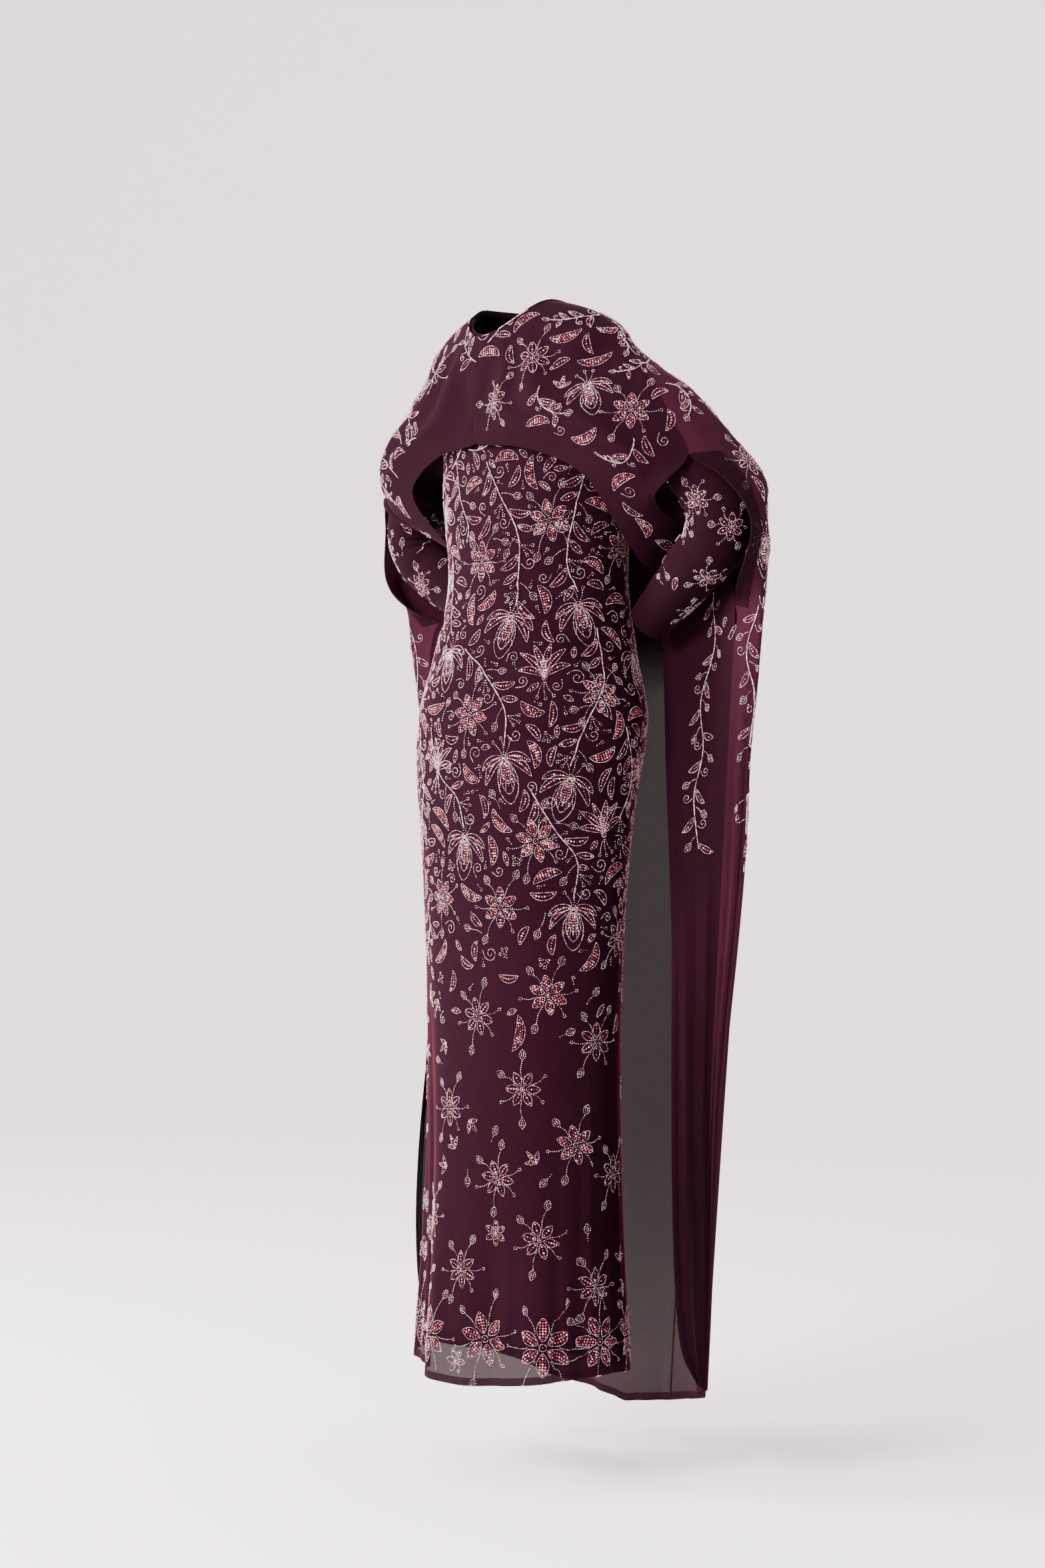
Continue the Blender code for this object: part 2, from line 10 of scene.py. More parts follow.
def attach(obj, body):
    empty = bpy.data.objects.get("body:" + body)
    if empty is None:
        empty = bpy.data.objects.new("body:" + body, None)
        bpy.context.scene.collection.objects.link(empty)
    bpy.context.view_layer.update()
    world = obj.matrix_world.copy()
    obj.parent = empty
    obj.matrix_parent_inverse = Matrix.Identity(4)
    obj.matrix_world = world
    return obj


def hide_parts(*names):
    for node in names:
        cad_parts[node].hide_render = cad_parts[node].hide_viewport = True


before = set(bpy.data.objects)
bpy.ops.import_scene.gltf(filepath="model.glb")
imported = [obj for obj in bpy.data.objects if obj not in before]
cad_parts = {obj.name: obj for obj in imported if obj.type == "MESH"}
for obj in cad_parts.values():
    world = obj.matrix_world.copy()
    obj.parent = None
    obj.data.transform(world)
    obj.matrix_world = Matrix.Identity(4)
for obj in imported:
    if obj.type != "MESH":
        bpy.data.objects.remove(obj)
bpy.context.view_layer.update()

mm = 0.001


# Colours and nodes

def srgb(code):
    # hex sRGB to linear, with alpha 1
    parts = [int(code[i:i + 2], 16) / 255 for i in (1, 3, 5)]
    return tuple(c / 12.92 if c <= 0.04045 else ((c + 0.055) / 1.055) ** 2.4 for c in parts) + (1.0,)


def addNode(tree, kind, settings=None, values=None, links=None):
    # settings are the node's own properties, values its socket values, links {socket: (node, output)}
    node = tree.nodes.new(kind)
    for name, value in (settings or {}).items():
        setattr(node, name, value)
    for name, value in (values or {}).items():
        node.inputs[name].default_value = value
    for name, (source, output) in (links or {}).items():
        tree.links.new(source.outputs[output], node.inputs[name])
    return node


def newMaterial(name):
    material = bpy.data.materials.new(name)
    material.use_nodes = True
    tree = material.node_tree
    return material, tree, tree.nodes["Principled BSDF"]


# Shape of the garment, the same tables as the solids have

dressShape = {
    # station, side x, front y, back y, side z, front z, back z
    "sections": (
        (0.0, 0.069, -0.066, 0.060, -0.012, -0.055, -0.017),
        (1.0, 0.096, -0.070, 0.080, -0.022, -0.076, -0.042),
        (2.0, 0.136, -0.071, 0.094, -0.041, -0.102, -0.076),
        (3.0, 0.168, -0.069, 0.099, -0.066, -0.132, -0.116),
        (4.0, 0.161, -0.069, 0.103, -0.110, -0.160, -0.148),
        (5.0, 0.153, -0.070, 0.108, -0.160, -0.189, -0.181),
        (6.0, 0.149, -0.072, 0.113, -0.208, -0.214, -0.212),
        (7.0, 0.149, -0.075, 0.121, -0.262, -0.262, -0.262),
        (8.0, 0.134, -0.077, 0.129, -0.370, -0.370, -0.370),
        (9.0, 0.149, -0.097, 0.140, -0.463, -0.463, -0.463),
        (10.0, 0.175, -0.113, 0.144, -0.550, -0.550, -0.550),
        (11.0, 0.169, -0.114, 0.126, -0.650, -0.650, -0.650),
        (12.0, 0.162, -0.107, 0.113, -0.740, -0.740, -0.740),
        (13.0, 0.155, -0.103, 0.105, -0.880, -0.880, -0.880),
        (14.0, 0.152, -0.104, 0.102, -1.080, -1.080, -1.080),
        (15.0, 0.155, -0.110, 0.102, -1.245, -1.250, -1.248),
        (16.0, 0.163, -0.119, 0.106, -1.382, -1.402, -1.394),
    ),
    # angle in degrees, half width in degrees, depth at the hem, height where it starts
    "folds": (
        (-128.0, 9.0, -0.016, -0.78),
        (-104.0, 11.0, 0.008, -0.95),
        (-66.0, 10.0, -0.010, -1.02),
        (-38.0, 12.0, 0.007, -1.08),
        (-160.0, 12.0, 0.007, -0.98),
        (38.0, 12.0, 0.009, -0.92),
        (66.0, 10.0, -0.012, -0.98),
        (96.0, 13.0, 0.009, -0.86),
        (126.0, 10.0, -0.011, -0.95),
        (154.0, 12.0, 0.008, -1.02),
    ),
    "armholeHalfAngle": math.radians(40.0),
    "shoulderStation": 3.0,
    "underarmStation": 6.0,
    "hemStation": 16.0,
    "seamGap": 0.0003,
    "wall": 0.0012,
}

sleeveShape = {
    "shoulder": (0.166, 0.022, -0.076),
    "elbow": (0.322, 0.072, -0.303),
    "wrist": (0.151, 0.087, -0.424),
    "fillet": 0.052,
    "blend": 0.16,
    "rings": (8, 7, 6),
    "armholeRows": 8,
    "armholeEase": 0.0006,
    # share of the length, half width in the plane of the bend, half width across it
    "sizes": (
        (0.00, 0.058, 0.054),
        (0.25, 0.051, 0.049),
        (0.46, 0.045, 0.045),
        (0.58, 0.044, 0.044),
        (0.75, 0.038, 0.038),
        (1.00, 0.028, 0.027),
    ),
}

capeShape = {
    "arcRow": 5,
    "slitTopRow": 8,
    "slitEndRow": 16,
    "lastRow": 28,
    "frontColumns": 8,
    "backColumns": 12,
    "clearance": 0.008,
    "neckGap": 0.0012,
    "neckClearance": 0.004,
    "reach": 0.018,
    "seamGap": 0.00004,
    # row, x, y, z of each line on the wearer's left
    "frontEdge": (
        (0, 0.000, -0.0715, -0.055),
        (2, 0.000, -0.0790, -0.104),
        (5, 0.000, -0.0810, -0.194),
        (6, 0.070, -0.0760, -0.202),
        (7, 0.132, -0.0620, -0.219),
        (8, 0.172, -0.0480, -0.242),
        (9, 0.181, -0.0270, -0.268),
        (10, 0.176, 0.0020, -0.298),
        (11, 0.170, 0.0320, -0.326),
        (12, 0.163, 0.0620, -0.350),
        (13, 0.152, 0.0980, -0.368),
        (14, 0.143, 0.1200, -0.386),
        (15, 0.136, 0.1260, -0.404),
        (16, 0.134, 0.1260, -0.424),
        (18, 0.148, 0.1150, -0.510),
        (20, 0.182, 0.0880, -0.640),
        (22, 0.226, 0.0560, -0.820),
        (24, 0.250, 0.0340, -1.040),
        (26, 0.262, 0.0290, -1.260),
        (27, 0.262, 0.0400, -1.342),
        (28, 0.252, 0.0760, -1.391),
    ),
    "seamFront": (
        (0, 0.0730, -0.0050, -0.012),
        (1, 0.100, 0.008, -0.022),
        (3, 0.164, 0.010, -0.056),
        (5, 0.228, 0.004, -0.106),
        (7, 0.284, 0.007, -0.184),
        (8, 0.304, 0.013, -0.225),
        (9, 0.290, -0.004, -0.252),
        (10, 0.262, -0.004, -0.272),
        (11, 0.243, 0.022, -0.288),
        (12, 0.232, 0.058, -0.300),
        (13, 0.222, 0.098, -0.312),
        (14, 0.232, 0.124, -0.336),
        (15, 0.262, 0.126, -0.372),
        (16, 0.298, 0.098, -0.408),
        (18, 0.302, 0.088, -0.510),
        (21, 0.291, 0.083, -0.730),
        (24, 0.272, 0.080, -1.040),
        (28, 0.246, 0.092, -1.401),
    ),
    "slitBack": (
        (8, 0.304, 0.013, -0.225),
        (9, 0.336, 0.034, -0.250),
        (10, 0.357, 0.050, -0.278),
        (11, 0.368, 0.057, -0.304),
        (12, 0.369, 0.057, -0.328),
        (13, 0.362, 0.056, -0.350),
        (14, 0.347, 0.060, -0.372),
        (15, 0.322, 0.075, -0.394),
        (16, 0.298, 0.098, -0.408),
    ),
    "ridge": (
        (0, 0.060, 0.036, -0.014),
        (1, 0.084, 0.032, -0.024),
        (3, 0.150, 0.028, -0.057),
        (5, 0.210, 0.036, -0.116),
        (7, 0.292, 0.072, -0.192),
        (8, 0.332, 0.090, -0.225),
        (11, 0.357, 0.098, -0.304),
        (16, 0.354, 0.090, -0.418),
        (18, 0.342, 0.094, -0.500),
        (19, 0.328, 0.096, -0.575),
        (21, 0.315, 0.098, -0.730),
        (24, 0.278, 0.092, -1.040),
        (28, 0.239, 0.104, -1.404),
    ),
    "blade": (
        (0, 0.030, 0.062, -0.016),
        (2, 0.080, 0.088, -0.062),
        (5, 0.150, 0.110, -0.138),
        (8, 0.222, 0.138, -0.226),
        (12, 0.252, 0.150, -0.330),
        (16, 0.259, 0.156, -0.420),
        (21, 0.230, 0.154, -0.730),
        (24, 0.205, 0.150, -1.040),
        (28, 0.165, 0.152, -1.430),
    ),
    "centreBack": (
        (0, 0.0, 0.0680, -0.017),
        (2, 0.0, 0.0980, -0.072),
        (5, 0.0, 0.1220, -0.152),
        (8, 0.0, 0.1340, -0.230),
        (12, 0.0, 0.1440, -0.335),
        (16, 0.0, 0.1580, -0.425),
        (21, 0.0, 0.1760, -0.730),
        (24, 0.0, 0.1800, -1.040),
        (28, 0.0, 0.1800, -1.460),
    ),
    # place from the over-arm seam (0) to the centre back (1), half width, depth at the hem, first row
    "folds": (
        (0.34, 0.075, -0.012, 14),
        (0.50, 0.080, 0.010, 13),
        (0.66, 0.075, -0.013, 15),
        (0.82, 0.080, 0.010, 14),
    ),
}


def lineAt(rows, station):
    # smooth curve through a table whose first column is the station
    table = np.array(rows, dtype=float)
    stations, values = table[:, 0], table[:, 1:]
    station = min(max(station, stations[0]), stations[-1])
    index = min(int(np.searchsorted(stations, station, side="right") - 1), len(stations) - 2)
    slopes = np.gradient(values, stations, axis=0)
    span = stations[index + 1] - stations[index]
    t = (station - stations[index]) / span
    return ((2 * t**3 - 3 * t**2 + 1) * values[index] + (t**3 - 2 * t**2 + t) * span * slopes[index]
            + (3 * t**2 - 2 * t**3) * values[index + 1] + (t**3 - t**2) * span * slopes[index + 1])


def ramp(value, low, high):
    t = np.clip((value - low) / (high - low), 0.0, 1.0)
    return t * t * (3.0 - 2.0 * t)


def unit(vectors):
    vectors = np.asarray(vectors, dtype=float)
    return vectors / np.linalg.norm(vectors, axis=-1, keepdims=True)


def dressRing(station, angles):
    # points of one ring of the dress at the given angles, 0 at the wearer's left side, -90 degrees in front
    sideX, frontY, backY, sideZ, frontZ, backZ = lineAt(dressShape["sections"], station)
    sine, cosine = np.sin(angles), np.cos(angles)
    height = sideZ + (np.where(sine < 0, frontZ, backZ) - sideZ) * sine * sine
    swell = np.zeros_like(angles)
    degrees = np.degrees(angles)
    for foldAngle, halfWidth, depth, start in dressShape["folds"]:
        apart = (degrees - foldAngle + 180.0) % 360.0 - 180.0
        swell += depth * ramp(-height, -start, 1.40) * np.exp(-((apart / halfWidth) ** 2))
    middle, halfDepth = 0.5 * (frontY + backY), 0.5 * (backY - frontY)
    return np.stack(((sideX + swell) * cosine, middle + (halfDepth + swell) * sine, height), axis=-1)


def dressNormals(station, angles):
    around = dressRing(station, angles + 0.01) - dressRing(station, angles - 0.01)
    high = min(station + 0.02, dressShape["hemStation"])
    down = dressRing(high, angles) - dressRing(max(station - 0.02, 0.0), angles)
    return unit(np.cross(down, around))


def armholeTurn(station):
    # how far into the armhole a station is, from 0 at the shoulder to pi under the arm
    low, high = dressShape["shoulderStation"], dressShape["underarmStation"]
    share = np.clip((station - low) / (high - low), 0.0, 1.0)
    return math.acos(1.0 - 2.0 * share)


def armPath():
    shoulder, elbow, wrist = (np.array(sleeveShape[name]) for name in ("shoulder", "elbow", "wrist"))
    upper, lower = unit(elbow - shoulder), unit(wrist - elbow)
    turn = math.acos(float(np.dot(upper, lower)))
    setback = sleeveShape["fillet"] * math.tan(0.5 * turn)
    bendStart, bendEnd = elbow - upper * setback, elbow + lower * setback
    centre = elbow + unit(lower - upper) * sleeveShape["fillet"] / math.cos(0.5 * turn)
    across = unit(np.cross(upper, lower))
    upperRings, elbowRings, lowerRings = sleeveShape["rings"]
    path = [(shoulder + (bendStart - shoulder) * share, upper)
            for share in np.linspace(0.0, 1.0, upperRings, endpoint=False)]
    spoke = bendStart - centre
    for share in np.linspace(0.0, 1.0, elbowRings, endpoint=False):
        c, s = math.cos(turn * share), math.sin(turn * share)
        path.append((centre + spoke * c + np.cross(across, spoke) * s, upper * c + np.cross(across, upper) * s))
    path += [(bendEnd + (wrist - bendEnd) * share, lower) for share in np.linspace(0.0, 1.0, lowerRings + 1)]
    return path, -across


def sleeveGrid():
    # rings of the left sleeve from the armhole to the cuff
    loop = []
    turns = np.linspace(0.0, math.pi, sleeveShape["armholeRows"] + 1)
    low, high = dressShape["shoulderStation"], dressShape["underarmStation"]
    for side in (-1, 1):
        for turn in turns if side < 0 else turns[-2:0:-1]:
            station = 0.5 * (low + high) - 0.5 * (high - low) * math.cos(turn)
            angle = np.array([side * dressShape["armholeHalfAngle"] * math.sin(turn)])
            loop.append((dressRing(station, angle)[0], dressNormals(station, angle)[0]))
    loopCentre = sum(point for point, _ in loop) / len(loop)
    path, front = armPath()
    steps = [0.0] + [float(np.linalg.norm(b[0] - a[0])) for a, b in zip(path, path[1:])]
    lengths = np.cumsum(steps)
    rings = []
    for (centre, heading), length in zip(path, lengths):
        halfPlane, halfAcross = lineAt(sleeveShape["sizes"], length / lengths[-1])
        outward = unit(np.cross(front, heading))
        blend = float(ramp(length, 0.0, sleeveShape["blend"]))
        ring = []
        for column, (edgePoint, edgeNormal) in enumerate(loop):
            turn = 2.0 * math.pi * column / len(loop)
            roundPoint = centre + outward * halfPlane * math.cos(turn) + front * halfAcross * math.sin(turn)
            inward = unit(loopCentre - edgePoint)
            start = edgePoint + inward * sleeveShape["armholeEase"] + edgeNormal * 0.5 * dressShape["seamGap"]
            ring.append((start + heading * length) * (1.0 - blend) + roundPoint * blend)
        rings.append(ring)
    grid = np.array(rings)
    around = np.roll(grid, -1, axis=1) - np.roll(grid, 1, axis=1)
    return grid, unit(np.cross(around, np.gradient(grid, axis=0)))


def capeFrontPoint(row, share):
    edge, seam = lineAt(capeShape["frontEdge"], row), lineAt(capeShape["seamFront"], row)
    across = seam - edge
    flat = np.array((across[1], -across[0], 0.0))
    upper = 1.0 - ramp(row, 7.0, 10.0)
    tail = ramp(row, 17.0, 22.0)
    behind = ramp(row, 10.0, 14.0) * (1.0 - tail)
    middle = 0.5 * (edge + seam) + flat * (0.20 * upper + 0.10 * tail - 0.10 * behind)
    middle[2] -= 0.10 * upper * abs(across[2])
    return lineAt([(place, *point) for place, point in zip((0.0, 0.5, 1.0), (edge, middle, seam))], share)


def capeBackPoint(row, share):
    inSlit = capeShape["slitTopRow"] <= row <= capeShape["slitEndRow"]
    seam = lineAt(capeShape["slitBack" if inSlit else "seamFront"], row)
    controls = (seam,) + tuple(lineAt(capeShape[name], row) for name in ("ridge", "blade", "centreBack"))
    point = lineAt([(place, *point) for place, point in zip((0.0, 0.22, 0.55, 1.0), controls)], share)
    swell = sum(depth * float(ramp(row, start, capeShape["lastRow"])) * math.exp(-(((share - place) / half) ** 2))
                for place, half, depth, start in capeShape["folds"])
    return point + unit(np.array((point[0], point[1], 0.0))) * swell


def gridNormals(grid):
    return unit(np.cross(np.gradient(grid, axis=0), np.gradient(grid, axis=1)))


def keepClear(grid, samples, directions):
    # moves each point out until it stands clear of the cloth below it
    for row in range(1, len(grid)):
        clearance = capeShape["neckClearance"]
        clearance += (capeShape["clearance"] - clearance) * float(ramp(row, 0.0, 3.0))
        for column in range(grid.shape[1]):
            point = grid[row, column]
            spans = np.linalg.norm(samples - point, axis=1)
            nearest = int(np.argmin(spans))
            height = float(np.dot(point - samples[nearest], directions[nearest]))
            sideways = math.sqrt(max(spans[nearest] ** 2 - height**2, 0.0))
            if height < clearance and sideways < capeShape["reach"]:
                grid[row, column] = point + directions[nearest] * (clearance - height)


def neckRow(row):
    # the cape's top row lies on the dress's neck edge
    sections = dressShape["sections"]
    middle = 0.5 * (sections[0][2] + sections[0][3])
    for column, point in enumerate(row):
        angle = np.array([math.atan2(point[1] - middle, point[0])])
        lift = dressShape["wall"] + capeShape["neckGap"]
        row[column] = dressRing(0.0, angle)[0] + dressNormals(0.0, angle)[0] * lift


def capeGrids():
    rows = range(capeShape["lastRow"] + 1)
    front = np.array([[capeFrontPoint(row, share) for share in np.linspace(0, 1, capeShape["frontColumns"] + 1)]
                      for row in rows])
    back = np.array([[capeBackPoint(row, share) for share in np.linspace(0, 1, capeShape["backColumns"] + 1)]
                     for row in rows])
    stations = np.linspace(0.0, dressShape["hemStation"], 70)
    angles = np.linspace(-math.pi, math.pi, 72, endpoint=False)
    dress = (np.concatenate([dressRing(station, angles) for station in stations]),
             np.concatenate([dressNormals(station, angles) for station in stations]))
    sleeve = tuple(part.reshape(-1, 3) for part in sleeveGrid())
    for samples, directions in 3 * (sleeve, dress):
        keepClear(front, samples, directions)
        keepClear(back, samples, directions)
    neckRow(front[0])
    neckRow(back[0])
    front[:capeShape["arcRow"] + 1, 0, 0] = 0.0
    back[:, -1, 0] = 0.0
    for row in rows:
        toFront = unit(front[row, -2] - front[row, -1])
        toBack = unit(back[row, 1] - back[row, 0])
        apart = unit(toFront - toBack)
        front[row, -1] += apart * 0.5 * capeShape["seamGap"]
        back[row, 0] -= apart * 0.5 * capeShape["seamGap"]
    return front, back


def refine(grid, rowSteps, columnSteps, closed=False):
    # smooth finer grid through the coarse grid's points
    def along(points, steps, wrap):
        if wrap:
            padded = np.concatenate((points[-1:], points, points[:2]))
        else:
            padded = np.concatenate((2 * points[:1] - points[1:2], points, 2 * points[-1:] - points[-2:-1]))
        result = []
        for i in range(1, len(padded) - 2):
            a, b, c, d = padded[i - 1:i + 3]
            for t in np.arange(steps) / steps:
                result.append(0.5 * (2 * b + (c - a) * t + (2 * a - 5 * b + 4 * c - d) * t**2
                                     + (3 * b - a - 3 * c + d) * t**3))
        if not wrap:
            result.append(points[-1])
        return np.array(result)
    finer = along(grid, rowSteps, False)
    return along(finer.swapaxes(0, 1), columnSteps, closed).swapaxes(0, 1)


def edgeDistance(grid, edges):
    # distance from each point to the nearest of some free edges, in metres
    flat = grid.reshape(-1, 3)
    best = np.full(len(flat), 1.0)
    for edge in edges:
        for a, b in zip(edge, edge[1:]):
            along = b - a
            t = np.clip(((flat - a) @ along) / max(float(along @ along), 1e-12), 0.0, 1.0)
            best = np.minimum(best, np.linalg.norm(flat - a - t[:, None] * along, axis=1))
    return best.reshape(grid.shape[:2])


# Cloth shells

clothWall = {"chiffon": 0.00060, "lining": 0.00050, "doubled": 0.00080}


def clothPiece(name, grid, normals, wall, material, distance=None, closed=False, flip=False, uv=None):
    # thin closed wall made from a grid of points: outer face, inner face and a rim round each free edge
    rows, columns = grid.shape[:2]
    index = np.arange(rows * columns).reshape(rows, columns)
    following = np.roll(index, -1, axis=1)
    lastColumn = columns if closed else columns - 1
    quads = np.stack((index[:-1, :lastColumn], index[1:, :lastColumn], following[1:, :lastColumn],
                      following[:-1, :lastColumn]), axis=-1).reshape(-1, 4)
    if flip:
        quads = quads[:, ::-1]
    count = rows * columns
    faces = [tuple(q) for q in quads] + [tuple(q[::-1] + count) for q in quads]
    edges = {}
    for quad in quads.tolist():
        for a, b in zip(quad, quad[1:] + quad[:1]):
            edges[(a, b)] = True
    faces += [(b, a, a + count, b + count) for a, b in edges if (b, a) not in edges]
    points = np.vstack((grid.reshape(-1, 3), (grid - normals * wall).reshape(-1, 3)))
    mesh = bpy.data.meshes.new(name)
    mesh.from_pydata(points.tolist(), [], [tuple(int(i) for i in face) for face in faces])
    mesh.materials.append(material)
    if distance is not None:
        layer = mesh.attributes.new("hemDistance", "FLOAT", "POINT")
        layer.data.foreach_set("value", np.tile(distance.reshape(-1), 2).astype(np.float32))
    if uv is not None:
        layer = mesh.uv_layers.new(name="cloth")
        corners = np.zeros(len(mesh.loops), dtype=np.int32)
        mesh.loops.foreach_get("vertex_index", corners)
        layer.data.foreach_set("uv", np.tile(uv.reshape(-1, 2), (2, 1))[corners].reshape(-1).astype(np.float32))
    mesh.shade_smooth()
    mesh.set_sharp_from_angle(angle=math.radians(60.0))
    piece = bpy.data.objects.new(name, mesh)
    bpy.context.scene.collection.objects.link(piece)
    return piece


def hemGrid(angleRange, stations, extra):
    # rings of the dress between two angles, with rows added close to the hem
    rings, normals = [], []
    for station in stations:
        inset = extra * dressShape["armholeHalfAngle"] * math.sin(armholeTurn(station))
        angles = np.linspace(angleRange[0] + inset, angleRange[1] - inset, dressLook["columns"] + 1)
        rings.append(dressRing(station, angles))
        normals.append(dressNormals(station, angles))
    return np.array(rings), np.array(normals)


dressLook = {
    "columns": 60,
    "yokeRows": 10,
    "armholeRows": 22,
    "bodyRows": 150,
    "hemBand": 0.010,
    # soft creases of the bodice and hips: side arc from centre front, height, length, turn in degrees,
    # width, depth, all in metres but the turn
    "creases": (
        (0.040, -0.395, 0.150, 8.0, 0.010, -0.0016),
        (0.100, -0.430, 0.170, -6.0, 0.012, -0.0020),
        (-0.020, -0.450, 0.120, 10.0, 0.009, -0.0014),
        (0.150, -0.360, 0.120, -14.0, 0.009, -0.0017),
        (0.060, -0.480, 0.160, 4.0, 0.011, -0.0016),
        (0.120, -0.575, 0.150, -12.0, 0.014, -0.0018),
        (-0.100, -0.420, 0.130, -8.0, 0.010, -0.0016),
        (-0.140, -0.560, 0.140, 12.0, 0.013, -0.0016),
        (0.020, -0.620, 0.190, -9.0, 0.014, -0.0016),
        (0.170, -0.300, 0.100, 30.0, 0.010, -0.0016),
        (-0.160, -0.310, 0.100, -30.0, 0.010, -0.0016),
    ),
    # fine vertical folds of the skirt: angle in degrees, half width in degrees, depth at the hem, first height
    "flutes": (
        (-133.0, 2.6, 0.0040, -0.88), (-139.5, 2.8, -0.0034, -0.92), (-146.0, 3.2, 0.0030, -0.95),
        (-122.0, 2.6, 0.0034, -0.96), (-116.0, 3.0, -0.0028, -1.02), (-97.0, 3.6, -0.0018, -1.10),
        (-84.0, 4.2, 0.0016, -1.08), (-60.0, 3.2, 0.0026, -1.12), (-53.0, 3.0, -0.0024, -1.10),
        (-30.0, 2.6, -0.0034, -0.98), (-24.0, 2.6, 0.0034, -1.00), (-14.0, 2.4, -0.0040, -0.90),
        (-7.0, 2.4, 0.0038, -0.92), (14.0, 3.0, -0.0030, -0.95), (24.0, 3.0, 0.0030, -0.90),
        (50.0, 3.4, -0.0026, -0.95), (80.0, 3.4, -0.0028, -0.92), (108.0, 3.4, 0.0030, -0.92),
        (140.0, 3.4, -0.0028, -0.95), (168.0, 3.0, 0.0028, -0.95), (178.0, 3.0, -0.0026, -1.00),
    ),
}


def dressRelief(points, angles):
    # height of the fine folds over the main form
    degrees = np.degrees(angles)
    z = points[..., 2]
    relief = np.zeros_like(z)
    for at, half, depth, start in dressLook["flutes"]:
        apart = (degrees - at + 180.0) % 360.0 - 180.0
        relief += depth * ramp(-z, -start, 1.38) * np.exp(-((apart / half) ** 2))
    arc = (degrees + 90.0) * math.radians(1.0) * 0.125
    for atArc, atZ, length, turn, width, depth in dressLook["creases"]:
        c, s = math.cos(math.radians(turn)), math.sin(math.radians(turn))
        u = (arc - atArc) * c + (z - atZ) * s
        v = -(arc - atArc) * s + (z - atZ) * c
        bend = v + 0.9 * u * u / max(length, 0.01)
        relief += 1.7 * depth * np.exp(-((u / (0.5 * length)) ** 2) - (bend / width) ** 2)
    return relief


def dressSheet(name, angleRange, seamShift, material):
    low, high, hem = (dressShape[k] for k in ("shoulderStation", "underarmStation", "hemStation"))
    turns = np.linspace(0.0, math.pi, dressLook["armholeRows"] + 1)
    body = np.linspace(high, hem, dressLook["bodyRows"] + 1)[1:]
    stations = np.concatenate((np.linspace(0.0, low, dressLook["yokeRows"], endpoint=False),
                               0.5 * (low + high) - 0.5 * (high - low) * np.cos(turns), body))
    grid, normals = hemGrid(angleRange, stations, 1.0)
    angles = np.array([np.linspace(angleRange[0] + a, angleRange[1] - a, dressLook["columns"] + 1)
                       for a in (dressShape["armholeHalfAngle"] * math.sin(armholeTurn(s)) for s in stations)])
    relief = dressRelief(grid, angles)
    edge = np.minimum(np.arange(grid.shape[1]), np.arange(grid.shape[1])[::-1]) / 3.0
    relief *= np.clip(edge, 0.0, 1.0)
    grid = grid + normals * relief[..., None]
    grid[:, 0, 1] += seamShift
    grid[:, -1, 1] += seamShift
    distance = edgeDistance(grid, [grid[-1]])
    uv = np.stack((angles * 0.125, -grid[..., 2]), axis=-1)
    piece = clothPiece(name, grid, normals, clothWall["chiffon"], material, distance, uv=uv)
    return piece, grid


liningLook = {"topStation": 13.3, "hemStation": 15.68, "rows": 30, "columns": 112, "topGap": 0.0004, "hemGap": 0.0045}


def liningTube(material):
    # satin lining that shows through the last stretch of the sheer hem
    angles = np.linspace(-math.pi, math.pi, liningLook["columns"], endpoint=False)
    rows = []
    turned = []
    for share in np.linspace(0.0, 1.0, liningLook["rows"] + 1):
        station = liningLook["topStation"] + (liningLook["hemStation"] - liningLook["topStation"]) * share
        normals = dressNormals(station, angles)
        gap = dressShape["wall"] + liningLook["topGap"] + (liningLook["hemGap"] - liningLook["topGap"]) * share
        rows.append(dressRing(station, angles) - normals * (gap + 0.0035 * ramp(share, 0.0, 0.3)))
        turned.append(normals)
    grid, normals = np.array(rows), np.array(turned)
    uv = np.stack(np.broadcast_arrays(angles[None, :] * 0.12, -grid[..., 2]), axis=-1)
    piece = clothPiece("lining_tube", grid, normals, clothWall["lining"], material,
                       edgeDistance(grid, [grid[-1]]), closed=True, uv=uv)
    return piece, grid


sleeveLook = {
    "rowSteps": 4,
    "columnSteps": 3,
    # creases round the arm: share of the length, column share where deepest, half width in metres, depth in metres
    "creases": (
        (0.40, 0.50, 0.0060, -0.0034), (0.45, 0.55, 0.0055, -0.0040), (0.50, 0.50, 0.0055, -0.0042),
        (0.55, 0.45, 0.0060, -0.0036), (0.60, 0.52, 0.0060, -0.0028), (0.67, 0.40, 0.0060, -0.0022),
        (0.74, 0.60, 0.0060, -0.0018), (0.80, 0.35, 0.0055, -0.0016), (0.86, 0.55, 0.0050, -0.0016),
        (0.92, 0.45, 0.0045, -0.0014), (0.30, 0.50, 0.0080, -0.0024), (0.22, 0.55, 0.0090, -0.0018),
    ),
}


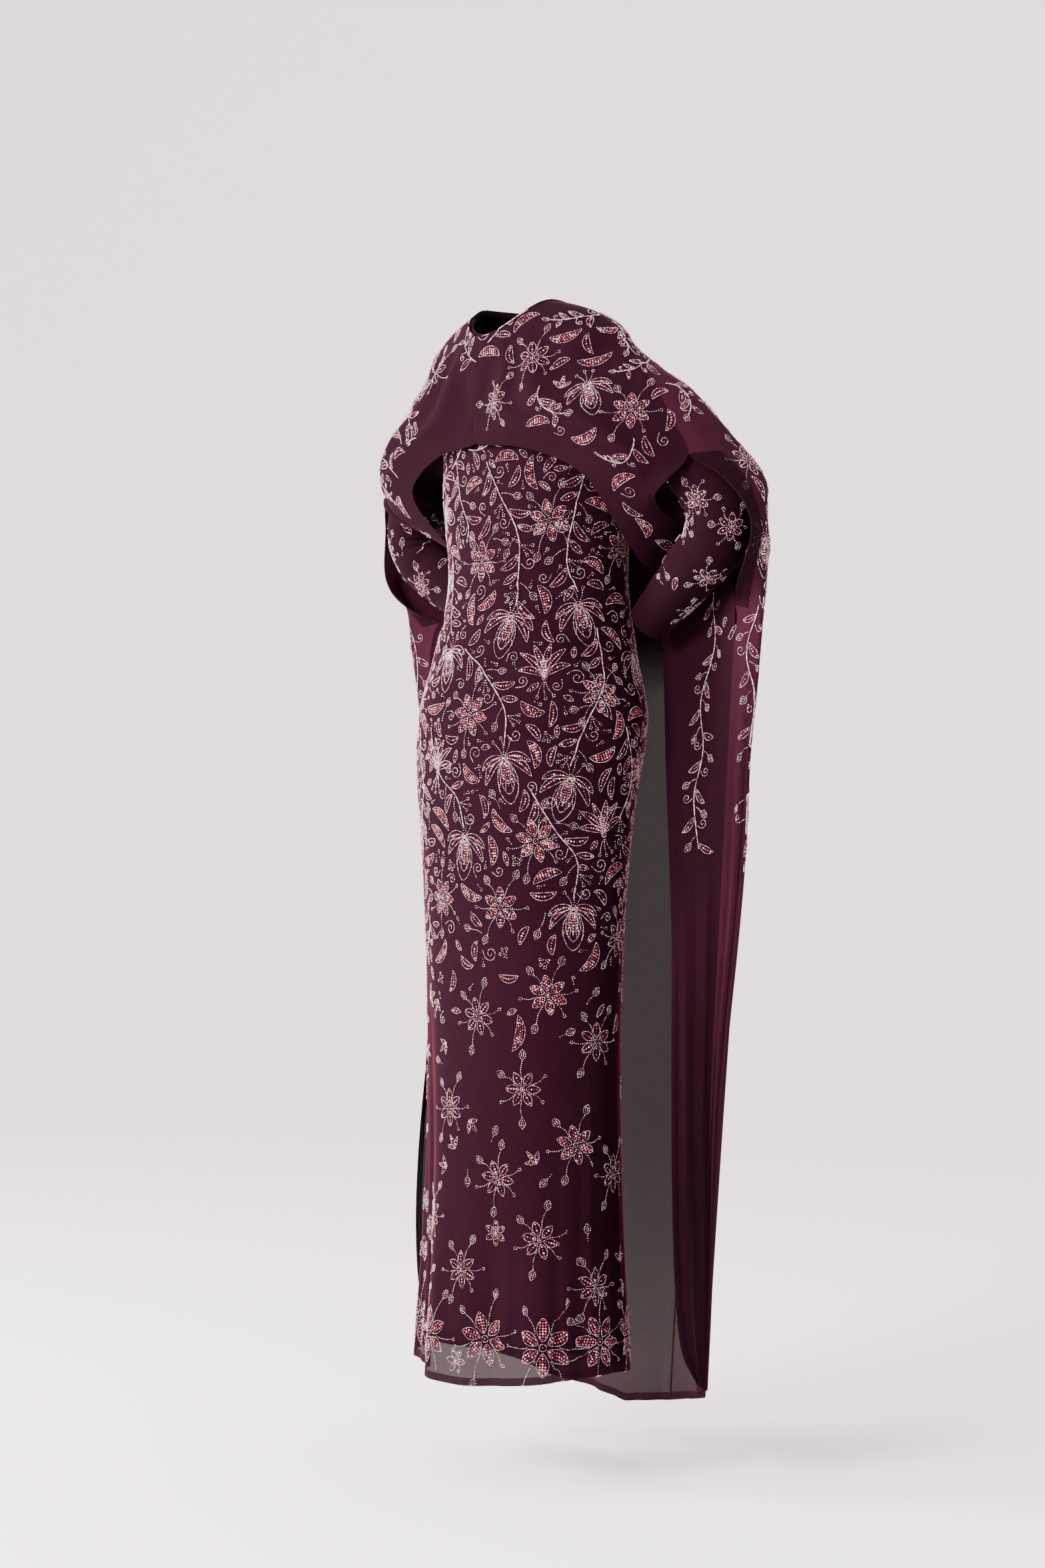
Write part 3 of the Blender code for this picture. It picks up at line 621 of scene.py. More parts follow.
def sleevePiece(name, mirror, material):
    coarse, _ = sleeveGrid()
    grid = refine(coarse, sleeveLook["rowSteps"], sleeveLook["columnSteps"], closed=True)
    around = np.roll(grid, -1, axis=1) - np.roll(grid, 1, axis=1)
    normals = unit(np.cross(around, np.gradient(grid, axis=0)))
    centre = grid.mean(axis=1)
    lengths = np.concatenate(([0.0], np.cumsum(np.linalg.norm(np.diff(centre, axis=0), axis=1))))
    columns = np.arange(grid.shape[1]) / grid.shape[1]
    relief = np.zeros(grid.shape[:2])
    for place, column, half, depth in sleeveLook["creases"]:
        apart = np.abs((columns - column + 0.5) % 1.0 - 0.5)
        reach = np.exp(-((apart / 0.20) ** 2))[None, :]
        slant = 0.012 * np.sin(2 * math.pi * (columns - column))[None, :]
        along = lengths[:, None] - place * lengths[-1] - slant
        relief += 1.5 * depth * reach * np.exp(-((along / half) ** 2))
    relief *= ramp(lengths, 0.02, 0.06)[:, None]
    grid = grid + normals * relief[..., None]
    distance = edgeDistance(grid, [grid[-1]])
    uv = np.stack(np.broadcast_arrays(columns[None, :] * 0.28, lengths[:, None]), axis=-1)
    if mirror:
        flip = np.array((-1.0, 1.0, 1.0))
        grid, normals = grid * flip, normals * flip
    piece = clothPiece(name, grid, normals, clothWall["chiffon"], material, distance,
                       closed=True, flip=not mirror, uv=uv)
    return piece, grid, normals, distance


capeLook = {
    "rowSteps": 5,
    "columnSteps": 5,
    # ripples of the back piece below the arm: place from the seam (0) to the centre back (1), half width, depth
    "ripples": (
        (0.05, 0.016, -0.0030), (0.10, 0.018, 0.0034), (0.16, 0.018, -0.0036), (0.22, 0.020, 0.0036),
        (0.28, 0.018, -0.0030), (0.40, 0.020, 0.0030), (0.45, 0.018, -0.0034), (0.56, 0.020, -0.0030),
        (0.61, 0.018, 0.0034), (0.72, 0.020, 0.0032), (0.78, 0.018, -0.0030), (0.88, 0.022, -0.0032),
        (0.94, 0.020, 0.0030),
    ),
    "firstRow": 13.0,
    # ripples of the front tail: place from the front edge (0) to the seam (1), half width, depth
    "tailRipples": ((0.16, 0.05, -0.0026), (0.34, 0.06, 0.0030), (0.55, 0.06, -0.0030), (0.78, 0.06, 0.0026)),
    # drape of the bib: place, half width, depth, first and last row, on the wearer's left half
    "bibFolds": (
        (0.30, 0.050, 0.0034, 0.6, 6.5), (0.40, 0.045, -0.0034, 0.8, 8.0), (0.52, 0.050, 0.0036, 0.6, 9.0),
        (0.66, 0.055, -0.0030, 1.0, 9.0), (0.16, 0.060, -0.0024, 1.5, 5.5),
    ),
}


def capeRelief(grid, front):
    rows, columns = grid.shape[:2]
    row = (np.arange(rows) / capeLook["rowSteps"])[:, None]
    share = (np.arange(columns) / (columns - 1))[None, :]
    relief = np.zeros((rows, columns))
    if front:
        for place, half, depth in capeLook["tailRipples"]:
            relief += depth * ramp(row, 17.0, 24.0) * np.exp(-(((share - place) / half) ** 2))
        for place, half, depth, first, last in capeLook["bibFolds"]:
            middle = 0.5 * (first + last)
            reach = np.clip(1.0 - ((row - middle) / (0.5 * (last - first))) ** 2, 0.0, 1.0)
            relief += depth * reach * np.exp(-(((share - place - 0.015 * (row - 3)) / half) ** 2))
    else:
        for place, half, depth in capeLook["ripples"]:
            grow = ramp(row, capeLook["firstRow"], 24.0)
            sway = 0.010 * np.sin(0.5 * row + 9.0 * place)
            relief += depth * grow * np.exp(-(((share - place + sway) / half) ** 2))
    sides = np.minimum(share, 1.0 - share) * (columns - 1) / 4.0
    return relief * np.clip(sides, 0.0, 1.0) * ramp(row, 0.3, 1.5)


def capeSheets():
    front, back = capeGrids()
    sheets = {}
    for name, coarse in (("front", front), ("back", back)):
        grid = refine(coarse, capeLook["rowSteps"], capeLook["columnSteps"])
        normals = gridNormals(grid)
        grid = grid + normals * capeRelief(grid, name == "front")[..., None]
        sheets[name] = [grid, gridNormals(grid)]
    step = capeLook["rowSteps"]
    for row in range(sheets["front"][0].shape[0]):
        if row <= capeShape["slitTopRow"] * step or row >= capeShape["slitEndRow"] * step:
            shared = unit(sheets["front"][1][row, -1] + sheets["back"][1][row, 0])
            sheets["front"][1][row, -1] = shared
            sheets["back"][1][row, 0] = shared
    return sheets


def mirroredPiece(name, grid, normals, sharedColumn, lastSharedRow, wall, material, distance, uv):
    # a half and its mirror image joined along one column down to a row, then apart
    rows, columns = grid.shape[:2]
    flip = np.array((-1.0, 1.0, 1.0))
    grid, normals = grid.copy(), normals.copy()
    grid[:lastSharedRow + 1, sharedColumn, 0] = 0.0
    normals[:lastSharedRow + 1, sharedColumn, 0] = 0.0
    normals = unit(normals)
    points = np.vstack((grid.reshape(-1, 3), grid.reshape(-1, 3) * flip))
    directions = np.vstack((normals.reshape(-1, 3), normals.reshape(-1, 3) * flip))
    index = np.arange(rows * columns).reshape(rows, columns)
    twin = index + rows * columns
    twin[:lastSharedRow + 1, sharedColumn] = index[:lastSharedRow + 1, sharedColumn]
    own = np.stack((index[:-1, :-1], index[1:, :-1], index[1:, 1:], index[:-1, 1:]), axis=-1).reshape(-1, 4)
    other = np.stack((twin[:-1, :-1], twin[:-1, 1:], twin[1:, 1:], twin[1:, :-1]), axis=-1).reshape(-1, 4)
    quads = np.vstack((own, other))
    count = len(points)
    edges = {}
    for quad in quads.tolist():
        for a, b in zip(quad, quad[1:] + quad[:1]):
            edges[(a, b)] = True
    faces = quads.tolist() + (quads[:, ::-1] + count).tolist()
    faces += [(b, a, a + count, b + count) for a, b in edges if (b, a) not in edges]
    mesh = bpy.data.meshes.new(name)
    vertices = np.vstack((points, points - directions * wall))
    mesh.from_pydata(vertices.tolist(), [], faces)
    mesh.materials.append(material)
    layer = mesh.attributes.new("hemDistance", "FLOAT", "POINT")
    layer.data.foreach_set("value", np.tile(distance.reshape(-1), 4).astype(np.float32))
    corners = np.zeros(len(mesh.loops), dtype=np.int32)
    mesh.loops.foreach_get("vertex_index", corners)
    flatUv = uv.reshape(-1, 2)
    allUv = np.vstack((flatUv, flatUv * (-1.0, 1.0)))
    uvLayer = mesh.uv_layers.new(name="cloth")
    uvLayer.data.foreach_set("uv", np.tile(allUv, (2, 1))[corners].reshape(-1).astype(np.float32))
    # the twins of shared points aren't used by any face, so they are taken out
    used = np.zeros(len(vertices), dtype=bool)
    used[corners] = True
    loose = np.flatnonzero(~used)
    mesh.update()
    piece = bpy.data.objects.new(name, mesh)
    bpy.context.scene.collection.objects.link(piece)
    if len(loose):
        work = bmesh.new()
        work.from_mesh(mesh)
        work.verts.ensure_lookup_table()
        bmesh.ops.delete(work, geom=[work.verts[int(i)] for i in loose], context="VERTS")
        work.to_mesh(mesh)
        work.free()
    mesh.shade_smooth()
    mesh.set_sharp_from_angle(angle=math.radians(60.0))
    return piece


facingLook = {"gap": 0.0004, "wall": 0.0008, "columns": 7}


def slitFacing(name, sheet, columns, mirror, material):
    # plain doubled band beside the slit, laid on the cape's own outer points
    grid, normals = sheet
    step = capeLook["rowSteps"]
    rows = slice(capeShape["slitTopRow"] * step, capeShape["slitEndRow"] * step + 1)
    part, lifted = grid[rows, columns], normals[rows, columns]
    points = part + lifted * (facingLook["gap"] + facingLook["wall"])
    flip = np.array((-1.0, 1.0, 1.0)) if mirror else np.ones(3)
    distance = np.full(points.shape[:2], 1.0)
    across = np.cumsum(np.linalg.norm(np.diff(points, axis=1, prepend=points[:, :1]), axis=2), axis=1)
    down = np.cumsum(np.linalg.norm(np.diff(points, axis=0, prepend=points[:1]), axis=2), axis=0)
    piece = clothPiece(name, points * flip, lifted * flip, facingLook["wall"], material, distance,
                       flip=mirror, uv=np.stack((across, down), axis=-1))
    return piece, points


bindingLook = {"radius": 0.0664, "below": 0.0040, "above": 0.0045, "wall": 0.0016, "segments": 96, "rows": 6}


def neckBinding(material):
    # narrow band folded over inside the neck edge
    sections = dressShape["sections"][0]
    sideZ, frontZ, backZ = sections[4:]
    middle = 0.5 * (sections[2] + sections[3])
    squash = (sections[3] - sections[2]) / (2.0 * sections[1])
    angles = np.linspace(-math.pi, math.pi, bindingLook["segments"], endpoint=False)
    sine = np.sin(angles)
    base = sideZ + (np.where(sine < 0, frontZ, backZ) - sideZ) * sine * sine
    profile = []
    wall, low, high = bindingLook["wall"], -bindingLook["below"], bindingLook["above"]
    for turn in np.linspace(0.0, math.pi, 5):
        profile.append((0.5 * wall * math.cos(turn), high - 0.5 * wall + 0.5 * wall * math.sin(turn)))
    profile += [(-0.5 * wall, low), (0.5 * wall, low)]
    points = np.array([[((bindingLook["radius"] + r) * math.cos(a), middle + (bindingLook["radius"] + r) * squash * s,
                         b + h) for r, h in profile] for a, s, b in zip(angles, sine, base)])
    size = len(profile)
    index = np.arange(len(angles) * size).reshape(len(angles), size)
    nextRing, beside = np.roll(index, -1, axis=0), np.roll(index, -1, axis=1)
    faces = np.stack((index, beside, np.roll(beside, -1, axis=0), nextRing), axis=-1).reshape(-1, 4)
    mesh = bpy.data.meshes.new("neck_band")
    mesh.from_pydata(points.reshape(-1, 3).tolist(), [], faces.tolist())
    mesh.materials.append(material)
    work = bmesh.new()
    work.from_mesh(mesh)
    bmesh.ops.recalc_face_normals(work, faces=work.faces)
    work.to_mesh(mesh)
    work.free()
    mesh.shade_smooth()
    piece = bpy.data.objects.new("neck_band", mesh)
    bpy.context.scene.collection.objects.link(piece)
    return piece


# Beadwork: strokes are drawn in millimetres on the flat cloth, then laid on the garment

beadLook = {
    "pitch": 0.00235,          # spacing of the cut beads along a line
    "length": 0.00235,         # length of one cut bead
    "width": 0.00150,
    "ropePitch": 0.00195,      # spacing of the slanted beads of a braided stem
    "ropeLength": 0.0042,
    "ropeSlant": math.radians(36.0),
    "sequinPitch": 0.0034,
    "sequinSize": 0.0033,
    "lift": 0.00070,           # how far the middle of a bead lies off the cloth
    "seed": 11,
}
chance = np.random.default_rng(beadLook["seed"])


def arc(cx, cy, radius, start, end, steps=16):
    turn = np.radians(np.linspace(start, end, steps))
    return np.stack((cx + radius * np.cos(turn), cy + radius * np.sin(turn)), axis=-1)


def leafCurve(length, width, bend, steps=22, blunt=0.8):
    # middle line and outline of a leaf that starts at 0, 0 and grows along +y, bent by so many degrees
    t = np.linspace(0.0, 1.0, steps)
    heading = np.radians(bend) * (t - 0.5)
    step = length / (steps - 1)
    middle = np.stack((np.cumsum(np.sin(heading)) * step, np.cumsum(np.cos(heading)) * step), axis=-1)
    middle -= middle[0]
    across = np.stack((np.cos(heading), -np.sin(heading)), axis=-1)
    half = 0.5 * width * np.clip(np.sin(math.pi * t), 0.0, 1.0) ** blunt
    left, right = middle - across * half[:, None], middle + across * half[:, None]
    return middle, np.concatenate((left, right[::-1])), half


def leaf(length, width, bend=0.0, fill="sequins", double=False):
    middle, outline, half = leafCurve(length, width, bend)
    strokes = [("line", outline)]
    if double:
        _, inner, _ = leafCurve(length * 0.72, width * 0.50, bend * 0.72)
        shift = middle[3]
        strokes.append(("line", inner + shift))
    if fill == "sequins":
        wide = half > 1.5
        if wide.sum() > 2:
            strokes.append(("sequins", middle[wide]))
            if width > 11.0 and not double:
                for side in (-1, 1):
                    along = middle[wide] * 1.0
                    along[:, 0] += side * 0.22 * width
                    strokes.append(("sequins", along[2:-2]))
    elif fill == "beads":
        strokes += scatter(outline, 1.9)
    return strokes


def scatter(outline, pitch):
    # short rows of beads inside an outline
    low, high = outline.min(axis=0), outline.max(axis=0)
    rows = []
    y = low[1] + 0.8 * pitch
    while y < high[1] - 0.5 * pitch:
        crossing = []
        for a, b in zip(outline, np.roll(outline, -1, axis=0)):
            if (a[1] - y) * (b[1] - y) < 0:
                crossing.append(a[0] + (b[0] - a[0]) * (y - a[1]) / (b[1] - a[1]))
        if len(crossing) >= 2:
            left, right = min(crossing) + 1.3, max(crossing) - 1.3
            if right - left > 0.6:
                rows.append(("dots", np.array(((left, y), (right, y)))))
        y += pitch
    return rows


def moved(strokes, x=0.0, y=0.0, turn=0.0, scale=1.0, flip=False):
    c, s = math.cos(math.radians(turn)), math.sin(math.radians(turn))
    matrix = scale * np.array(((c, -s), (s, c)))
    side = np.array((-1.0 if flip else 1.0, 1.0))
    return [(kind, (points * side) @ matrix.T + (x, y)) for kind, points in strokes]


def teardrop(length=13.0, width=9.0):
    return leaf(length, width, 0.0, "beads")


def ray(start, end, bend, head):
    # dotted line with a small loop or a filled drop at its end, along +y
    t = np.linspace(0.0, 1.0, 10)
    path = np.stack((bend * np.sin(math.pi * t) * 0.5, start + (end - start) * t), axis=-1)
    if head == "drop":
        tip = moved(teardrop(), y=end)
    else:
        tip = [("line", arc(0.0, end + 2.1, 2.1, -90, 250, 9))]
    return [("dotted", path)] + tip


def flower(size=54.0, petals=6, rays=True, heads=("drop", "loop", "drop", "loop", "loop", "drop"), reach=1.0):
    # open flower with sequinned petals, a ringed centre and rays between the petals
    radius = 0.5 * size
    strokes = [("line", arc(0, 0, 0.13 * radius, 0, 345, 9)), ("sequins", np.array(((0.0, 0.0), (0.1, 0.0))))]
    for k in range(petals):
        petal = moved(leaf(0.80 * radius, 0.43 * radius), y=0.19 * radius)
        strokes += moved(petal, turn=360.0 * k / petals)
    if rays:
        for k in range(petals):
            head = heads[k % len(heads)]
            far = radius * (1.22 + 0.16 * (k % 3)) * reach
            one = ray(0.50 * radius, far, (-1) ** k * 5.0, head)
            strokes += moved(one, turn=360.0 * (k + 0.5) / petals)
    return strokes


def bloom(size=60.0, layers=3, stamens=True, tail=0.0):
    # half open bloom that hangs along -y from its calyx at 0, 0
    strokes = [("line", arc(0, -3, 3.4, 0, 345, 9))]
    for k, angle in enumerate((-74, -50, 50, 74)):
        side = -1 if angle < 0 else 1
        reach = size * (0.62 if abs(angle) > 60 else 0.74)
        strokes += moved(leaf(reach, 0.17 * size, side * 62.0), turn=180 + angle, flip=False)
    for k in range(layers):
        reach = size * (0.90 - 0.20 * k)
        width = size * (0.46 - 0.13 * k)
        _, outline, _ = leafCurve(reach, width, 0.0, blunt=0.62)
        strokes += moved([("line", outline)], y=-2.0, turn=180)
    for angle in (-13, 0, 13):
        strokes += moved([("sequins", np.array(((0.0, 6.0), (0.0, 0.60 * size))))], turn=180 + angle)
    for angle in (-21, -7, 7, 21):
        strokes += moved([("dotted", np.array(((0.0, 5.0), (0.0, 0.66 * size))))], turn=180 + angle)
    if stamens:
        for angle in (-30, 0, 30):
            strokes += moved(ray(3.0, 0.36 * size, 3.0, "loop"), turn=angle)
    if tail:
        strokes.append(("rope", np.array(((0.0, -0.95 * size), (0.4, -0.95 * size - tail)))))
    return strokes


def crown(size=60.0):
    # open bloom seen from the side, petals up, calyx at 0, 0
    strokes = [("line", arc(0, 3.2, 3.4, 0, 345, 9)), ("sequins", np.array(((0.0, 3.2), (0.1, 3.2))))]
    for angle, reach, width, bend in ((-68, 0.62, 0.15, -50), (-40, 0.76, 0.16, -44), (-14, 0.72, 0.15, -16),
                                      (14, 0.72, 0.15, 16), (40, 0.76, 0.16, 44), (68, 0.62, 0.15, 50)):
        strokes += moved(leaf(reach * size, width * size, bend), y=5.0, turn=-angle)
    strokes += moved(leaf(0.42 * size, 0.12 * size), y=5.0)
    for angle in (-26, 0, 26):
        strokes += moved(ray(2.0, 0.36 * size, 3.0, "loop"), turn=180 + angle)
    return strokes


def spiral(radius=13.0, turns=1.55, lead=10.0):
    # tendril that starts at 0, 0 along +y and curls in
    t = np.linspace(0.0, 1.0, 34)
    shrink = radius * (1.0 - 0.84 * t**0.8)
    turn = math.pi - 2.0 * math.pi * turns * t
    curl = np.stack((radius + shrink * np.cos(turn), lead + shrink * np.sin(turn)), axis=-1)
    return [("line", np.vstack(((0.0, 0.0), curl)))]


def sprig(size=20.0):
    strokes = []
    for angle, reach in ((-28, 0.85), (0, 1.0), (28, 0.85)):
        strokes += moved(ray(0.0, size * reach, 2.0, "loop"), turn=angle)
    return strokes


def trefoil(size=34.0):
    # three short leaves from one foot
    strokes = []
    for angle, reach, bend in ((-48, 0.8, -30), (0, 1.0, 0), (48, 0.8, 30)):
        strokes += moved(leaf(size * reach, size * 0.26, bend), turn=-angle)
    return strokes


def scroll(length=80.0, bend=80.0):
    # curved braided stem with leaves and tendrils on both sides and a filled drop at its tip
    middle, _, _ = leafCurve(length, 1.0, bend)
    strokes = [("rope", middle)]
    side = 1
    for k, share in enumerate((0.16, 0.30, 0.44, 0.58, 0.72, 0.86)):
        index = int(share * (len(middle) - 1))
        heading = bend * (share - 0.5)
        size = 30.0 - 15.0 * share
        part = moved(spiral(0.24 * size, 1.45, 0.3 * size), flip=side > 0) if k % 3 == 2 else leaf(
            size, 0.33 * size, -46.0 * side)
        strokes += moved(moved(part, y=2.6), x=middle[index, 0], y=middle[index, 1], turn=54.0 * side - heading)
        side = -side
    return strokes + moved(teardrop(), x=middle[-1, 0], y=middle[-1, 1], turn=-0.5 * bend)


def smoothPath(points, steps=10):
    grid = np.array(points, dtype=float)[:, None, :]
    padded = np.concatenate((grid, grid), axis=1)
    return refine(padded, steps, 1)[:, 0]


# From flat motifs to the garment

class Surface:
    # outer face of one or more cloth grids, to lay motifs on
    def __init__(self, grids):
        points, normals, quads, distance, start = [], [], [], [], 0
        for grid, directions, edge, closed in grids:
            rows, columns = grid.shape[:2]
            index = np.arange(rows * columns).reshape(rows, columns) + start
            following = np.roll(index, -1, axis=1)
            last = columns if closed else columns - 1
            quads.append(np.stack((index[:-1, :last], index[1:, :last], following[1:, :last], following[:-1, :last]),
                                  axis=-1).reshape(-1, 4))
            points.append(grid.reshape(-1, 3))
            normals.append(directions.reshape(-1, 3))
            distance.append(edge.reshape(-1))
            start += rows * columns
        self.points, self.normals = np.concatenate(points), np.concatenate(normals)
        self.quads, self.distance = np.concatenate(quads), np.concatenate(distance)
        self.tree = BVHTree.FromPolygons(self.points.tolist(), self.quads.tolist())

    def find(self, points):
        places, faces = np.empty((len(points), 3)), np.empty(len(points), dtype=int)
        for k, point in enumerate(points.tolist()):
            place, _, face, _ = self.tree.find_nearest(point)
            places[k], faces[k] = place, face
        corners = self.quads[faces]
        return places, unit(self.normals[corners].mean(axis=1)), self.distance[corners].mean(axis=1)


def dense(points, pitch):
    steps = np.linalg.norm(np.diff(points, axis=0), axis=1)
    lengths = np.concatenate(([0.0], np.cumsum(steps)))
    at = np.linspace(0.0, lengths[-1], max(int(lengths[-1] / pitch) + 1, 2))
    return np.stack([np.interp(at, lengths, points[:, k]) for k in range(points.shape[1])], axis=-1)


class Embroidery:
    # beads and sequins laid on one surface, with a record of the places taken
    def __init__(self, name, surface, allowed, budget):
        self.name, self.surface, self.allowed, self.budget = name, surface, allowed, budget
        self.rows = {"bead": [], "sequin": []}
        self.count = 0
        self.taken = set()

    def cells(self, places):
        cell = np.floor(places / 0.0032).astype(np.int64) + 2000
        return cell

    def keys(self, cell):
        return (cell[:, 0] * 4096 + cell[:, 1]) * 4096 + cell[:, 2]

    def frameAt(self, anchor, turn, flip):
        place, normal, _ = self.surface.find(np.asarray(anchor, dtype=float)[None, :])
        place, normal = place[0], normal[0]
        up = np.array((0.0, 0.0, 1.0)) - normal * normal[2]
        if np.linalg.norm(up) < 0.25:
            up = np.array((0.0, 1.0, 0.0)) - normal * normal[1]
        up = unit(up)
        right = np.cross(up, normal)
        c, s = math.cos(math.radians(turn)), math.sin(math.radians(turn))
        side = -1.0 if flip else 1.0
        return place, normal, (right * c + up * s) * side, -right * s + up * c

    def lay(self, motif, anchor, turn, flip, pitch):
        place, normal, across, along = self.frameAt(anchor, turn, flip)
        flat = [dense(np.asarray(points, dtype=float), pitch) * mm for _, points in motif]
        sizes = [len(part) for part in flat]
        merged = np.concatenate(flat)
        spots = place + merged[:, :1] * across + merged[:, 1:2] * along
        return self.surface.find(spots), sizes

    def fits(self, motif, anchor, turn, flip):
        (places, _, edge), _ = self.lay(motif, anchor, turn, flip, 4.5)
        if not self.allowed(places, edge).all():
            return False
        return not any(key in self.taken for key in self.keys(self.cells(places)).tolist())

    def put(self, motif, anchor, turn=0.0, flip=False):
        (places, normals, edge), sizes = self.lay(motif, anchor, turn, flip, 2.0)
        cell = self.cells(places)
        for offset in ((0, 0, 0), (1, 0, 0), (-1, 0, 0), (0, 1, 0), (0, -1, 0), (0, 0, 1), (0, 0, -1)):
            self.taken.update(self.keys(cell + np.array(offset)).tolist())
        start = 0
        for (kind, _), size in zip(motif, sizes):
            part = slice(start, start + size)
            start += size
            good = edge[part] > 0.004
            if good.sum() >= 2:
                self.sew(kind, places[part][good], normals[part][good])

    def sew(self, kind, places, normals):
        single = kind == "sequins" and np.linalg.norm(places[-1] - places[0]) < 0.001
        pitch = {"rope": beadLook["ropePitch"], "sequins": beadLook["sequinPitch"],
                 "dotted": beadLook["pitch"] * 1.2}.get(kind, beadLook["pitch"])
        if single:
            spots, facing = places[:1], normals[:1]
            ahead = unit(np.cross(facing, (0.3, 0.2, 0.9)))
        else:
            steps = np.linalg.norm(np.diff(places, axis=0), axis=1)
            keep = np.concatenate(([True], steps > 1e-6))
            places, normals = places[keep], normals[keep]
            steps = np.linalg.norm(np.diff(places, axis=0), axis=1)
            lengths = np.concatenate(([0.0], np.cumsum(steps)))
            count = int(lengths[-1] / pitch)
            if count < 1:
                return
            at = (np.arange(count) + 0.5) * lengths[-1] / count
            both = np.concatenate((places, normals), axis=1)
            here, before, after = (np.stack([np.interp(np.clip(at + shift, 0, lengths[-1]), lengths, both[:, k])
                                             for k in range(6)], axis=-1) for shift in (0.0, -0.3 * pitch, 0.3 * pitch))
            spots, facing, ahead = here[:, :3], unit(here[:, 3:]), unit(after[:, :3] - before[:, :3])
        n = len(spots)
        self.count += n
        side = np.cross(facing, ahead)
        tint = chance.random(n)
        lift = beadLook["lift"]
        if kind == "sequins":
            facing = unit(facing + side * chance.normal(0, 0.14, (n, 1)) + ahead * chance.normal(0, 0.14, (n, 1)))
            size = np.full(n, beadLook["sequinSize"])
            self.rows["sequin"].append(np.column_stack((spots + facing * lift, ahead, facing, size, size, tint)))
            return
        if kind == "rope":
            ahead = unit(ahead * math.cos(beadLook["ropeSlant"]) + side * math.sin(beadLook["ropeSlant"]))
            size, wide, lift = np.full(n, beadLook["ropeLength"]), np.full(n, beadLook["width"]), lift + 0.0004
        else:
            loose = 0.9 if kind == "dots" else 0.07
            ahead = unit(ahead + side * chance.normal(0, loose, (n, 1)))
            size = beadLook["length"] * chance.uniform(0.88, 1.04, n)
            wide = beadLook["width"] * chance.uniform(0.92, 1.06, n)
        self.rows["bead"].append(np.column_stack((spots + facing * lift, ahead, facing, size, wide, tint)))

    def fill(self, makers, tries, share=1.0, where=None):
        # fills the free places with motifs, in the order given
        points = self.surface.points
        open_ = self.allowed(points, self.surface.distance)
        if where is not None:
            open_ = open_ & where(points)
        anchors = points[open_]
        for make, part in makers:
            for _ in range(int(tries * part)):
                if self.count > self.budget * share:
                    return
                motif, anchor = make(), anchors[int(chance.integers(len(anchors)))]
                turn, flip = float(chance.uniform(0, 360)), bool(chance.random() < 0.5)
                if int(self.keys(self.cells(anchor[None, :]))[0]) in self.taken:
                    continue
                if self.fits(motif, anchor, turn, flip):
                    self.put(motif, anchor, turn, flip)


def eulerFrom(x, y, z):
    # Euler angles XYZ of axes given as rows of vectors
    return np.stack((np.arctan2(y[:, 2], z[:, 2]), -np.arcsin(np.clip(x[:, 2], -1, 1)),
                     np.arctan2(x[:, 1], x[:, 0])), axis=-1)


def beadTree():
    # small solids of one kind set on points that carry turn, size and tint
    tree = bpy.data.node_groups.new("beads_on_points", "GeometryNodeTree")
    face = tree.interface
    face.new_socket("Geometry", in_out="INPUT", socket_type="NodeSocketGeometry")
    face.new_socket("Segments", in_out="INPUT", socket_type="NodeSocketInt")
    face.new_socket("Rings", in_out="INPUT", socket_type="NodeSocketInt")
    face.new_socket("Material", in_out="INPUT", socket_type="NodeSocketMaterial")
    face.new_socket("Geometry", in_out="OUTPUT", socket_type="NodeSocketGeometry")
    start = addNode(tree, "NodeGroupInput")
    ball = addNode(tree, "GeometryNodeMeshUVSphere", values={"Radius": 1.0},
                   links={"Segments": (start, "Segments"), "Rings": (start, "Rings")})
    smooth = addNode(tree, "GeometryNodeSetShadeSmooth", links={"Geometry": (ball, "Mesh")})
    turn = addNode(tree, "GeometryNodeInputNamedAttribute", {"data_type": "FLOAT_VECTOR"}, {"Name": "turn"})
    size = addNode(tree, "GeometryNodeInputNamedAttribute", {"data_type": "FLOAT_VECTOR"}, {"Name": "size"})
    rotation = addNode(tree, "FunctionNodeEulerToRotation", links={"Euler": (turn, "Attribute")})
    placed = addNode(tree, "GeometryNodeInstanceOnPoints",
                     links={"Points": (start, "Geometry"), "Instance": (smooth, "Geometry"),
                            "Rotation": (rotation, "Rotation"), "Scale": (size, "Attribute")})
    real = addNode(tree, "GeometryNodeRealizeInstances", links={"Geometry": (placed, "Instances")})
    coloured = addNode(tree, "GeometryNodeSetMaterial",
                       links={"Geometry": (real, "Geometry"), "Material": (start, "Material")})
    addNode(tree, "NodeGroupOutput", links={"Geometry": (coloured, "Geometry")})
    return tree


